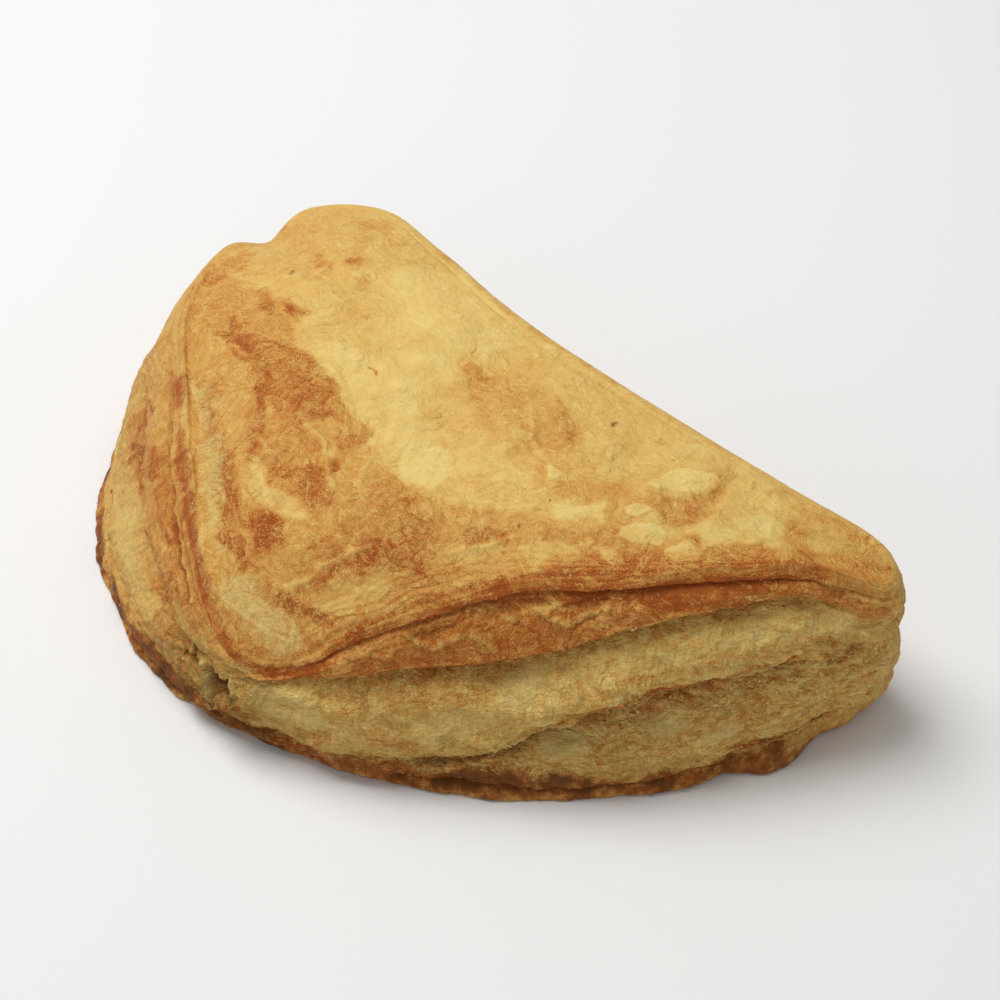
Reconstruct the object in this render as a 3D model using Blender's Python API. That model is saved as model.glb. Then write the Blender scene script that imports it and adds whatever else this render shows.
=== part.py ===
"""A tiropita: a flaky cheese pie, folded over so that a rounded triangle of crust lies on a rounder base.

The pie is one solid. Its top is a low dome, its wall is a stack of puffed leaves that hang over each
other, and its base is flat with a ragged rim. The straight fold is at the back (+Y), the low corner of
the crust points forward (-Y), and the narrow tip is on the right (+X).
"""

import bmesh
import bpy
import numpy as np
from mathutils import Vector, noise

NAME = "pastry"
MM = 0.001
ACROSS = 32  # faces along one side of the cube that the pie is shaped from
ROWS_PER_LEAF = 6

# Driving dimensions, in millimetres. Each station is a place on the outline, counterclockwise from the
# right tip as seen from above: the top crust's edge (x, y, height), then the base's edge (x, y).
STATIONS = np.array([
    (75.6, 34.8, 36.8, 73.5, 32.0),  # right tip
    (70.5, 38.4, 40.6, 69.5, 41.5),
    (48.0, 35.3, 42.0, 46.0, 43.0),  # the fold begins
    (20.0, 31.5, 44.1, 18.0, 40.0),
    (-14.0, 30.4, 44.1, -12.0, 39.0),  # middle of the fold
    (-45.0, 35.5, 41.0, -46.0, 41.0),
    (-64.0, 38.3, 38.5, -70.0, 40.0),
    (-77.0, 30.0, 36.0, -85.0, 28.0),  # far end
    (-74.5, 17.5, 35.9, -87.5, 17.0),
    (-77.5, 8.0, 38.0, -87.5, 6.0),
    (-69.0, -10.3, 37.5, -82.7, -15.2),
    (-51.5, -25.0, 35.5, -69.4, -33.3),
    (-35.0, -37.3, 32.0, -54.5, -46.5),  # middle of the left edge
    (-16.6, -48.5, 26.5, -33.0, -54.5),
    (-4.0, -52.0, 21.5, -10.0, -55.5),  # low front corner
    (7.3, -47.3, 23.5, 10.0, -50.0),
    (17.0, -37.0, 32.5, 26.0, -42.0),
    (31.0, -18.0, 40.5, 42.0, -30.0),
    (48.5, 0.0, 43.5, 56.0, -15.0),  # middle of the front edge
    (65.5, 23.0, 42.5, 68.0, 8.0),
])
OUTLINE_SAMPLES = 4000
OUTLINE_STEP = 0.05  # part of a station over which the outline's direction is measured
CROWN = np.array([-2.0, 2.0, 45.5])  # highest place of the top crust

# Knots are (station, value), and a value runs smoothly from one knot to the next, all the way round.
CROWN_POWER = ((0, 3), (4, 3.5), (8, 3), (12, 3.5), (14, 4), (16, 4), (18, 3))
BULGE = ((0, 4.0), (2, 5), (4, 5.5), (6, 5), (8, 3), (9.5, 3.0), (10.5, 2.4), (12, 1.6), (14, 1.5),
         (16, 2), (18, 3))
BULGE_POWER = ((0, 0.6), (2, 0.5), (6, 0.5), (8, 0.6), (10, 0.8), (14, 0.8), (18, 0.9))

# Each leaf of pastry ends in a lip: how far down the wall it is, from 0 at the top edge to 1 at the
# base, and how deep the crease below it is, in millimetres.
LIPS = (
    (((0, 0.07), (4, 0.08), (8, 0.07), (12, 0.07), (15, 0.06), (18, 0.045)),
     ((0, 0.3), (1, 0.2), (7, 0.3), (9, 0.5), (11, 0.9), (13, 0.8), (15, 0.5), (17, 0.9), (18, 1.2),
      (19, 0.7))),
    (((0, 0.2), (4, 0.3), (8, 0.26), (10.5, 0.3), (12, 0.36), (13.5, 0.3), (15.3, 0.16), (16, 0.24),
      (16.9, 0.30), (17.5, 0.27), (18, 0.19), (18.5, 0.15), (19.3, 0.13)),
     ((0, 0.2), (1, 0.2), (8, 0.3), (10.6, 1.5), (11.6, 0.8), (13, 0.5), (14.8, 0.4), (16, 2.4), (17, 3.8),
      (18, 3.0), (18.8, 1.8), (19.5, 0.5))),
    (((0, 0.35), (2, 0.55), (8, 0.62), (11, 0.76), (14, 0.72), (16.4, 0.76), (17, 0.72), (17.5, 0.62),
      (18, 0.52), (19, 0.42)),
     ((0, 0.3), (1.5, 0.3), (8, 0.3), (11, 0.5), (14, 0.6), (16, 0.6), (17, 2.6), (18, 3.8), (18.8, 2.4),
      (19.5, 0.6))),
    (((0.5, 0.86), (4, 0.9), (8, 0.9), (12, 0.9), (16, 0.89), (18, 0.92), (18.9, 0.88), (19.6, 0.82)),
     ((0, 1.0), (4, 1.0), (8, 1.2), (12, 1.4), (16, 1.8), (18, 2.2), (19.2, 1.6))),
)
LEAVES = len(LIPS) + 1
LEAF_PUFF = np.array([0.4, 1.4, 1.8, 1.4, 0.8])  # how far each leaf bellies out above a deep crease
FULL_PUFF_CREASE = 2.0  # depth of crease above which a leaf has its whole puff
LEAST_PUFF = 0.15
CREASE_POWER = 1.5  # how quickly a leaf comes out again below its crease
UNDERSIDE = 1 / ROWS_PER_LEAF  # share of a leaf's rows that turn in under the lip above
UNDERSIDE_DROP = 0.07  # how far down the leaf its crease lies

# The base's rim: lobes that stand out from it at their stations, and smaller scallops all round
RIM_LOBES = ((0, 0), (2, 0), (11.5, 0.8), (12.6, 0), (13.6, 0), (14.3, -1.2), (15.6, -1), (17, 0.2),
             (17.6, -0.3), (18.3, 0.6), (18.65, 1.2), (18.88, 0), (19.08, 2.4), (19.35, 3.4), (19.6, 0.5))
RIM_SCALLOP = 1.4
RIM_SCALLOP_LENGTH = 9.0
RIM_POWER = 8  # how closely lobes and scallops keep to the base

# The top crust's rolled edge: its height, and how far in from the edge its ridge and groove lie
ROLL = ((0, 0), (8, 0.1), (10, 0.7), (12, 0.9), (13, 0.7), (14, 0.3), (16, 0.2), (18, 0.2), (19, 0.05))
ROLL_RIDGE = 1.6
ROLL_GROOVE = 5.0
GROOVE_SHARE = 0.7

# Blisters of the top crust: x, y, radius and height
BLISTERS = ((-30, -6, 15, 1.6), (-13, 1, 9, 1.0), (12, 14, 13, 1.5), (37, 10, 9, 1.3), (46, 22, 8, 1.0),
            (-52, 12, 14, 1.5), (-20, 19, 12, 1.0), (-46, -13, 9, 1.2), (24, -8, 10, 1.2), (0, -27, 10, 1.4),
            (-27, -29, 9, 1.2), (60, 24, 7, 0.9), (-66, 20, 8, 0.9))
WAVE_LENGTH = 16.0
TOP_WAVE = 1.1
WALL_WAVE = 0.7
EDGE_POWER = 4  # how closely the border without blisters keeps to the top's edge
EDGE_CROWDING = 1.4  # how much closer together the top's points lie near its edge

CRUST_COLOUR = (0.52, 0.27, 0.075, 1)
CRUST_ROUGHNESS = 0.55


def closed_curve(points, place):
    """Read a smooth closed curve through the points, at places counted in points from the first one."""
    first = np.floor(place).astype(int)
    t = (place - first)[:, None]
    before, start, end, after = (points[(first + step) % len(points)] for step in (-1, 0, 1, 2))
    linear = end - before
    square = 2 * before - 5 * start + 4 * end - after
    cube = 3 * start - before - 3 * end + after
    return start + t * (linear + t * (square + t * cube)) / 2


def around(station, knots):
    """Read a value at each station from its knots, with the ends joined."""
    place, value = np.array(knots, dtype=float).T
    round_trip = len(STATIONS)
    place = np.concatenate([place[-2:] - round_trip, place, place[:2] + round_trip])
    value = np.concatenate([value[-2:], value, value[:2]])
    slope = np.gradient(value, place)
    first = np.searchsorted(place, station, side="right") - 1
    gap = place[first + 1] - place[first]
    t = (station - place[first]) / gap
    blend = t * t * (3 - 2 * t)
    sweep = t * (1 - t) * gap * (slope[first] * (1 - t) - slope[first + 1] * t)
    return value[first] * (1 - blend) + value[first + 1] * blend + sweep


def station_at(share):
    """Turn a share of the way round the mean outline, 0 to 1, into a station number."""
    place = np.linspace(0, len(STATIONS), OUTLINE_SAMPLES)
    curve = closed_curve(STATIONS, place)
    middle = (curve[:, :2] + curve[:, 3:]) / 2
    steps = np.linalg.norm(np.diff(middle, axis=0), axis=1)
    length = np.concatenate([[0], np.cumsum(steps)])
    return np.interp((share % 1) * length[-1], length, place)


def outward_at(station):
    """Give the level direction that points out of the pie at each station."""
    ahead = closed_curve(STATIONS, station + OUTLINE_STEP)
    behind = closed_curve(STATIONS, station - OUTLINE_STEP)
    along = (ahead - behind)[:, :2] + (ahead - behind)[:, 3:]
    along /= np.linalg.norm(along, axis=1)[:, None]
    return np.column_stack([along[:, 1], -along[:, 0], np.zeros(len(along))])


def waves(points, length):
    """Give smooth random waves of about the given length, between about -1 and 1."""
    return np.array([noise.noise(Vector(point / length)) for point in points])


def leaf_profile(station, share):
    """Tell how far down the wall each row is, and how far its leaf stands out there."""
    lips = np.array([around(station, knots) for knots, depth in LIPS])
    creases = np.array([around(station, depth) for knots, depth in LIPS])
    nothing = np.zeros((1, len(station)))
    lips = np.concatenate([nothing, lips, nothing + 1])
    creases = np.concatenate([nothing, creases])
    leaf = np.minimum((share * LEAVES).astype(int), LEAVES - 1)
    part = share * LEAVES - leaf
    column = np.arange(len(station))
    crease = creases[leaf, column]
    turned = np.clip(part / UNDERSIDE, 0, 1)
    face = np.clip((part - UNDERSIDE) / (1 - UNDERSIDE), 0, 1)
    drop = UNDERSIDE_DROP * turned + (1 - UNDERSIDE_DROP) * face
    down = lips[leaf, column] * (1 - drop) + lips[leaf + 1, column] * drop
    puffed = np.minimum(LEAST_PUFF + crease / FULL_PUFF_CREASE, 1)
    puff = LEAF_PUFF[leaf] * puffed * np.sin(np.pi * face)
    return down, puff - crease * turned * (1 - face) ** CREASE_POWER


def rim_reach(station, points):
    """Tell how far the base's rim stands out past its plain edge."""
    return around(station, RIM_LOBES) + RIM_SCALLOP * waves(points * (1, 1, 0), RIM_SCALLOP_LENGTH)


def wall_points(station, share):
    """Shape the wall, with share running from 0 at the top edge to 1 at the base."""
    rails = closed_curve(STATIONS, station)
    top = rails[:, :3]
    base = np.column_stack([rails[:, 3:], np.zeros(len(rails))])
    down, out = leaf_profile(station, share)
    points = top * (1 - down)[:, None] + base * down[:, None]
    out += around(station, BULGE) * (4 * down * (1 - down)) ** around(station, BULGE_POWER)
    out += rim_reach(station, points) * down ** RIM_POWER
    out += WALL_WAVE * waves(points, WAVE_LENGTH) * np.sin(np.pi * down)
    return points + outward_at(station) * out[:, None]


def rolled_edge(station, inset):
    """Raise a ridge just inside the top's edge, with a groove behind it, inset millimetres from the edge."""
    ridge = np.exp(-((inset - ROLL_RIDGE) / ROLL_RIDGE * 2) ** 2)
    groove = np.exp(-((inset - ROLL_GROOVE) / ROLL_GROOVE * 2) ** 2)
    return around(station, ROLL) * (ridge - GROOVE_SHARE * groove)


def top_points(station, reach):
    """Shape the top crust, with reach running from 0 at the crown to 1 at the edge."""
    edge = closed_curve(STATIONS, station)[:, :3]
    reach = 1 - (1 - reach) ** EDGE_CROWDING
    points = CROWN + (edge - CROWN) * reach[:, None]
    points[:, 2] = CROWN[2] + (edge[:, 2] - CROWN[2]) * reach ** around(station, CROWN_POWER)
    relief = TOP_WAVE * waves(points, WAVE_LENGTH)
    for x, y, radius, height in BLISTERS:
        away = np.hypot(points[:, 0] - x, points[:, 1] - y) / radius
        relief += height * np.exp(-away ** 2)
    inset = np.linalg.norm((edge - CROWN)[:, :2], axis=1) * (1 - reach)
    points[:, 2] += relief * (1 - reach ** EDGE_POWER) + rolled_edge(station, inset)
    return points


def base_points(station, reach):
    """Lay the base flat inside the wall's lowest row."""
    edge = wall_points(station, np.ones(len(station)))
    middle = CROWN * (1, 1, 0)
    return middle + (edge - middle) * reach[:, None]


def ring_share(x, y):
    """Tell how far round its square ring a point of the cube lies, from 0 to 1."""
    reach = np.maximum(np.maximum(abs(x), abs(y)), 1e-9)
    x, y = x / reach, y / reach
    on_side = (x > 1 - 1e-5, y > 1 - 1e-5, x < 1e-5 - 1)
    return np.select(on_side, (1 + y, 3 - x, 5 - y), 7 + x) / 8


def pie_points(cube):
    """Move points of a cube, 2 across and 1 high, onto the pie, and stand it on the origin."""
    x, y, height = cube.T
    station = station_at(ring_share(x, y))
    reach = np.maximum(abs(x), abs(y))
    points = wall_points(station, 1 - height)
    inner = reach < 1 - 1e-6
    on_top = inner & (height > 1 - 1e-6)
    below = inner & (height < 1e-6)
    points[on_top] = top_points(station[on_top], reach[on_top])
    points[below] = base_points(station[below], reach[below])
    points[:, :2] -= (points.min(axis=0) + points.max(axis=0))[:2] / 2
    return points


def divided_cube():
    """Make a cube with a fine grid on its top and base, and rows of faces down its sides."""
    bm = bmesh.new()
    bmesh.ops.create_cube(bm, size=2)
    level = [edge for edge in bm.edges if edge.verts[0].co.z == edge.verts[1].co.z]
    bmesh.ops.subdivide_edges(bm, edges=level, cuts=ACROSS - 1, use_grid_fill=True)
    upright = [edge for edge in bm.edges if edge.verts[0].co.z != edge.verts[1].co.z]
    bmesh.ops.subdivide_edges(bm, edges=upright, cuts=ROWS_PER_LEAF * LEAVES - 1, use_grid_fill=True)
    for vert in bm.verts:
        vert.co.z = (vert.co.z + 1) / 2
    return bm


def crust_material():
    """Baked puff pastry: golden, slightly glossy from its butter."""
    material = bpy.data.materials.new(NAME)
    material.use_nodes = True
    shader = material.node_tree.nodes["Principled BSDF"]
    shader.inputs["Base Color"].default_value = CRUST_COLOUR
    shader.inputs["Roughness"].default_value = CRUST_ROUGHNESS
    shader.inputs["Metallic"].default_value = 0
    return material


def pastry(collection):
    """Make the pie as one solid."""
    bm = divided_cube()
    cube = np.array([vert.co for vert in bm.verts])
    for vert, point in zip(bm.verts, pie_points(cube) * MM):
        vert.co = point
    bmesh.ops.triangulate(bm, faces=bm.faces)
    mesh = bpy.data.meshes.new(NAME)
    bm.to_mesh(mesh)
    bm.free()
    mesh.shade_smooth()
    mesh.materials.append(crust_material())
    pie = bpy.data.objects.new(NAME, mesh)
    collection.objects.link(pie)


def main():
    for item in list(bpy.data.objects):
        bpy.data.objects.remove(item, do_unlink=True)
    collection = bpy.data.collections.new("tiropita")
    bpy.context.scene.collection.children.link(collection)
    pastry(collection)


main()
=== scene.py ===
"""The looks of a tiropita: a whole baked cheese pie of puff pastry, on a pale floor under soft light.

The crust is built from the same named sizes as the solid that it replaces, with a finer mesh: ragged
lips, blisters, folds and flakes. Sizes are in millimetres, in a plan whose x runs along the pie and
whose y runs towards its fold, and the pie is moved to the frame's place at the end.
"""
import math

import bpy
import numpy as np
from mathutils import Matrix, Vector, noise


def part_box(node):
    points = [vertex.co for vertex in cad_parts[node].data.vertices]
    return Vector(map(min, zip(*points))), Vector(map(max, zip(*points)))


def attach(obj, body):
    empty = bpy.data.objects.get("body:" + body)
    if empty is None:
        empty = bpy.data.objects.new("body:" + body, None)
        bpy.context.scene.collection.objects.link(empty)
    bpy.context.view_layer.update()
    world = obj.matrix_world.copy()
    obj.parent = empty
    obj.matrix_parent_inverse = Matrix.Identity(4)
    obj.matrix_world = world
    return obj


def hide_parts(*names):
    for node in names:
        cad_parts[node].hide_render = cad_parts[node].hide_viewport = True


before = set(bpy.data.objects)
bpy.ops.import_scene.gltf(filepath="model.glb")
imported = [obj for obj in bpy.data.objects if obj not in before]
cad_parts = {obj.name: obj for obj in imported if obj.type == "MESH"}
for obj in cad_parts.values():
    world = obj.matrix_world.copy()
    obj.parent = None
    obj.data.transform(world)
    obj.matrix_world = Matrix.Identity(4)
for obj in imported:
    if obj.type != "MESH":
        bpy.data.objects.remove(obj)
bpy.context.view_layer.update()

MM = 0.001

# The solid's driving dimensions. Each station is a place on the outline, counterclockwise from the
# right tip: the top crust's edge (x, y, height), then the base's edge (x, y).
STATIONS = np.array([
    (75.6, 34.8, 36.8, 73.5, 32.0),
    (70.5, 38.4, 40.6, 69.5, 41.5),
    (48.0, 35.3, 42.0, 46.0, 43.0),
    (20.0, 31.5, 44.1, 18.0, 40.0),
    (-14.0, 30.4, 44.1, -12.0, 39.0),
    (-45.0, 35.5, 41.0, -46.0, 41.0),
    (-64.0, 38.3, 38.5, -70.0, 40.0),
    (-77.0, 30.0, 36.0, -85.0, 28.0),
    (-74.5, 17.5, 35.9, -87.5, 17.0),
    (-77.5, 8.0, 38.0, -87.5, 6.0),
    (-69.0, -10.3, 37.5, -82.7, -15.2),
    (-51.5, -25.0, 35.5, -69.4, -33.3),
    (-35.0, -37.3, 32.0, -54.5, -46.5),
    (-16.6, -48.5, 26.5, -33.0, -54.5),
    (-4.0, -52.0, 21.5, -10.0, -55.5),
    (7.3, -47.3, 23.5, 10.0, -50.0),
    (17.0, -37.0, 32.5, 26.0, -42.0),
    (31.0, -18.0, 40.5, 42.0, -30.0),
    (48.5, 0.0, 43.5, 56.0, -15.0),
    (65.5, 23.0, 42.5, 68.0, 8.0),
])
OUTLINE_SAMPLES = 4000
OUTLINE_STEP = 0.05
CROWN = np.array([-2.0, 2.0, 45.5])

# Knots are (station, value), and a value runs smoothly from one knot to the next, all the way round.
CROWN_POWER = ((0, 3), (4, 3.5), (8, 3), (12, 3.5), (14, 4), (16, 4), (18, 3))
BULGE = ((0, 4), (2, 5), (4, 5.5), (6, 5), (8, 3), (9.5, 3), (10.5, 2.4), (12, 1.6), (14, 1.5), (16, 2),
         (18, 3))
BULGE_POWER = ((0, 0.6), (2, 0.5), (6, 0.5), (8, 0.6), (10, 0.8), (14, 0.8), (18, 0.9))
# Each lip of the wall's leaves: how far down the wall it lies, and how deep the crease under it is
LIPS = (
    (((0, 0.07), (4, 0.08), (8, 0.07), (12, 0.07), (15, 0.06), (18, 0.045)),
     ((0, 0.3), (1, 0.2), (7, 0.3), (9, 0.5), (11, 0.9), (13, 0.8), (15, 0.5), (17, 0.9), (18, 1.2),
      (19, 0.7))),
    (((0, 0.2), (4, 0.3), (8, 0.26), (10.5, 0.3), (12, 0.36), (13.5, 0.3), (15.3, 0.16), (16, 0.24),
      (16.9, 0.3), (17.5, 0.27), (18, 0.19), (18.5, 0.15), (19.3, 0.13)),
     ((0, 0.2), (1, 0.2), (8, 0.3), (10.6, 1.5), (11.6, 0.8), (13, 0.5), (14.8, 0.4), (16, 2.4), (17, 3.8),
      (18, 3), (18.8, 1.8), (19.5, 0.5))),
    (((0, 0.35), (2, 0.55), (8, 0.62), (11, 0.76), (14, 0.72), (16.4, 0.76), (17, 0.72), (17.5, 0.62),
      (18, 0.52), (19, 0.42)),
     ((0, 0.3), (1.5, 0.3), (8, 0.3), (11, 0.5), (14, 0.6), (16, 0.6), (17, 2.6), (18, 3.8), (18.8, 2.4),
      (19.5, 0.6))),
    (((0.5, 0.86), (4, 0.9), (8, 0.9), (12, 0.9), (16, 0.89), (18, 0.92), (18.9, 0.88), (19.6, 0.82)),
     ((0, 1), (4, 1), (8, 1.2), (12, 1.4), (16, 1.8), (18, 2.2), (19.2, 1.6))),
)
LEAVES = len(LIPS) + 1
LEAF_PUFF = np.array([0.4, 1.4, 1.8, 1.4, 0.8])
FULL_PUFF_CREASE = 2.0
LEAST_PUFF = 0.15
CREASE_POWER = 1.5
UNDERSIDE = 1 / 6
UNDERSIDE_DROP = 0.07
RIM_LOBES = ((0, 0), (2, 0), (11.5, 0.8), (12.6, 0), (13.6, 0), (14.3, -1.2), (15.6, -1), (17, 0.2),
             (17.6, -0.3), (18.3, 0.6), (18.65, 1.2), (18.88, 0), (19.08, 2.4), (19.35, 3.4), (19.6, 0.5))
RIM_SCALLOP = 1.4
RIM_SCALLOP_LENGTH = 9.0
RIM_POWER = 8
ROLL = ((0, 0), (8, 0.1), (10, 0.7), (12, 0.9), (13, 0.7), (14, 0.3), (16, 0.2), (18, 0.2), (19, 0.05))
ROLL_RIDGE = 1.6
ROLL_GROOVE = 5.0
GROOVE_SHARE = 0.7
# Large blisters of the top crust: x, y, radius and height
BLISTERS = (
    (-30, -6, 15, 1.6), (-13, 1, 9, 1), (12, 14, 13, 1.5), (37, 10, 9, 1.3), (46, 22, 8, 1),
    (-52, 12, 14, 1.5), (-20, 19, 12, 1), (-46, -13, 9, 1.2), (24, -8, 10, 1.2), (0, -27, 10, 1.4),
    (-27, -29, 9, 1.2), (60, 24, 7, 0.9), (-66, 20, 8, 0.9),
)
WAVE_LENGTH = 16.0
TOP_WAVE = 1.1
WALL_WAVE = 0.7
EDGE_POWER = 4
EDGE_CROWDING = 1.4

# The fine mesh: faces across the top, rows on each leaf of the wall and its underside, and the base's rings
ACROSS = 400
LEAF_ROWS = (8, 30, 30, 30, 10)
UNDERSIDE_ROWS = (1, 5, 5, 5, 2)
BASE_RINGS = (0.985, 0.93, 0.6)
FRONT_CROWDING = 1.9  # how much closer together the columns stand along the open edges than at the fold
FOLD_MIDDLE = 5  # the station in the middle of the fold, where places along the edge start

# The wall unrolled, in millimetres: how wide a station counts, and how high the whole wall counts
STATION_WIDTH = 23.0
WALL_HEIGHT = 40.0

# Shares that change along the edge, as stations and the share at each of them
OPEN_EDGE = ((0, 2, 8.5, 10.5, 20), (1, 0, 0, 1, 1))  # 1 along the open edges, 0 at the fold
LEFT_EDGE = ((0, 10, 10.8, 13, 14, 20), (0, 0, 1, 1, 0, 0))
PANEL = ((0, 15, 15.8, 19, 19.6, 20), (0, 0, 1, 1, 0, 0))  # where the second leaf is a smooth film
FIRST_CREASE = ((0, 13.4, 13.9, 15.2, 15.8, 20), (1, 1, 0.15, 0.15, 1, 1))  # share of its depth that shows
WALL_FLAKING = ((0, 1.5, 9, 10.5, 13, 14, 20), (1, 0.2, 0.2, 0.3, 0.4, 1, 1))
TERRACES = ((0, 13.5, 14.5, 15.5, 16.5, 18.5, 19.3, 20), (0, 0, 0.7, 1, 0.6, 0.5, 0, 0))
FOOT_SHADE = ((0, 13, 14, 18, 19, 20), (0, 0, 1, 1, 0.3, 0))  # where the wall's foot gets painted shade, darker towards the floor
CORNER_SHADE = ((0, 12.8, 13.3, 14.6, 15.2, 20), (0, 0, 1, 1, 0, 0))  # where the whole wall below its top lip gets painted shade

# Random waves: their length, how many finer ones they carry, and their seed
LIP_WAVES = (11.0, 5)
RIM_WAVES = (4.0, 3, 5)
WALL_FLAKE_WAVES = (11.0, 5, 11)
WALL_GRAIN_WAVES = (1.6, 4, 12)
TOP_PEBBLE_WAVES = (5.0, 3, 22)
TOP_GRAIN_WAVES = (1.7, 2, 23)
TOP_FLAKE_WAVES = (13.0, 4, 24)
ROLL_WAVES = (9.0, 3, 25)
TERRACE_WAVES = (8.0, 4, 26)
TOP_TONE_WAVES = (6.0, 4, 34)
WALL_TONE_WAVES = (6.0, 4, 46)
RIM_TONE_WAVES = (1.8, 3, 47)
SEED_STEP = 17.3  # how far apart waves with different seeds are read

# How far marks stray sideways, in millimetres, and the random waves that move them
FOLD_STRAY = (1.2, 6.0, 3, 21)
AREA_STRAY = (1.3, 5.0, 3, 31)
STROKE_STRAY = (1.6, 5.0, 3, 31)
FINE_STRAY = (0.5, 1.6, 3, 33)
WALL_STRAY = (1.0, 5.0, 4, 41)

# Ragged lips: how far each strays up and down the wall, how much its crease's depth varies, and its curl
LIP_STRAY = (0.008, 0.012, 0.014, 0.012)
CREASE_STRAY = 0.4
LIP_CURL = (0.12, 0.3, 0.25, 0.3)
MOST_CURL = 1.3
CURL_HEIGHT = 1.1
CURL_DEPTH = 0.5

# Fine relief of the wall
RIM_RAGGEDNESS = 0.5
WALL_FLAKE = 0.34  # thickness of the thin skins that peel
WALL_FLAKE_LEVELS = 5.0
WALL_FLAKE_SQUASH = (1, 1, 2.2)
WALL_GRAIN = 0.34
FOLD_GRAIN_SHARE = 0.35
PANEL_SMOOTHNESS = 0.65
RELIEF_MARGIN = 0.05  # share of the wall's height over which marks fade in at its top and foot
STEP_RISER = 0.35  # share of a step that its riser takes

# Fine relief of the top crust
TOP_RUN = 2.0  # makes the streaks of the top half as long as the wall's
TOP_PEBBLE = 0.3
TOP_GRAIN = 0.07
TOP_FLAKE = 0.16
TOP_FLAKE_LEVELS = 4.0
ROLL_RAGGEDNESS = 0.9
TERRACE = 0.42  # height of the thin layers that end one behind the other along the open edges
TERRACE_WIDTH = 1.5
TERRACE_REACH = 6.0
TERRACE_STRAY = 1.2
TERRACE_RISER = 0.4
STRIP = 2.1  # width of the raised strip along the left edge
STRIP_STRAY = 0.5
STRIP_HEIGHT = 0.5
STRIP_SLOPE = 0.7
STRIP_RAGGEDNESS = (0.3, 1.2)

# Small bubbles under the top crust, and the corners of the plan between which they lie
PLAN = ((-75, -45), (70, 35))
BUBBLES = 130
BUBBLE_RADII = (1.2, 3.6)
BUBBLE_HEIGHT = 0.3
BUBBLE_TONE = 0.08

# Faint wrinkles at random places: how many, the corners between which they lie, how they turn, the most that
# each may be raised, and their seed
TOP_WRINKLES = (70, *PLAN, (-0.5, 0.7), 0.28, 5)
WALL_PLAN = ((10 * STATION_WIDTH, 0.1 * WALL_HEIGHT), (20 * STATION_WIDTH, 0.85 * WALL_HEIGHT))
WALL_WRINKLES = (90, *WALL_PLAN, (-0.35, 0.5), 0.4, 6)
WRINKLE_LENGTH = 9.0
WRINKLE_STEPS = 3
WRINKLE_BEND = 0.45
WRINKLE_WIDTH = 0.5
WRINKLE_TONE = 0.09

# Thin loose flakes
FLAKES = 110
FLAKE_CORNERS = 7
FLAKE_LENGTH = 0.75
FLAKE_THICKNESS = 0.06
FLAKE_LIFT = 0.05
LOWEST_FLAKE = 2.0

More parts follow.
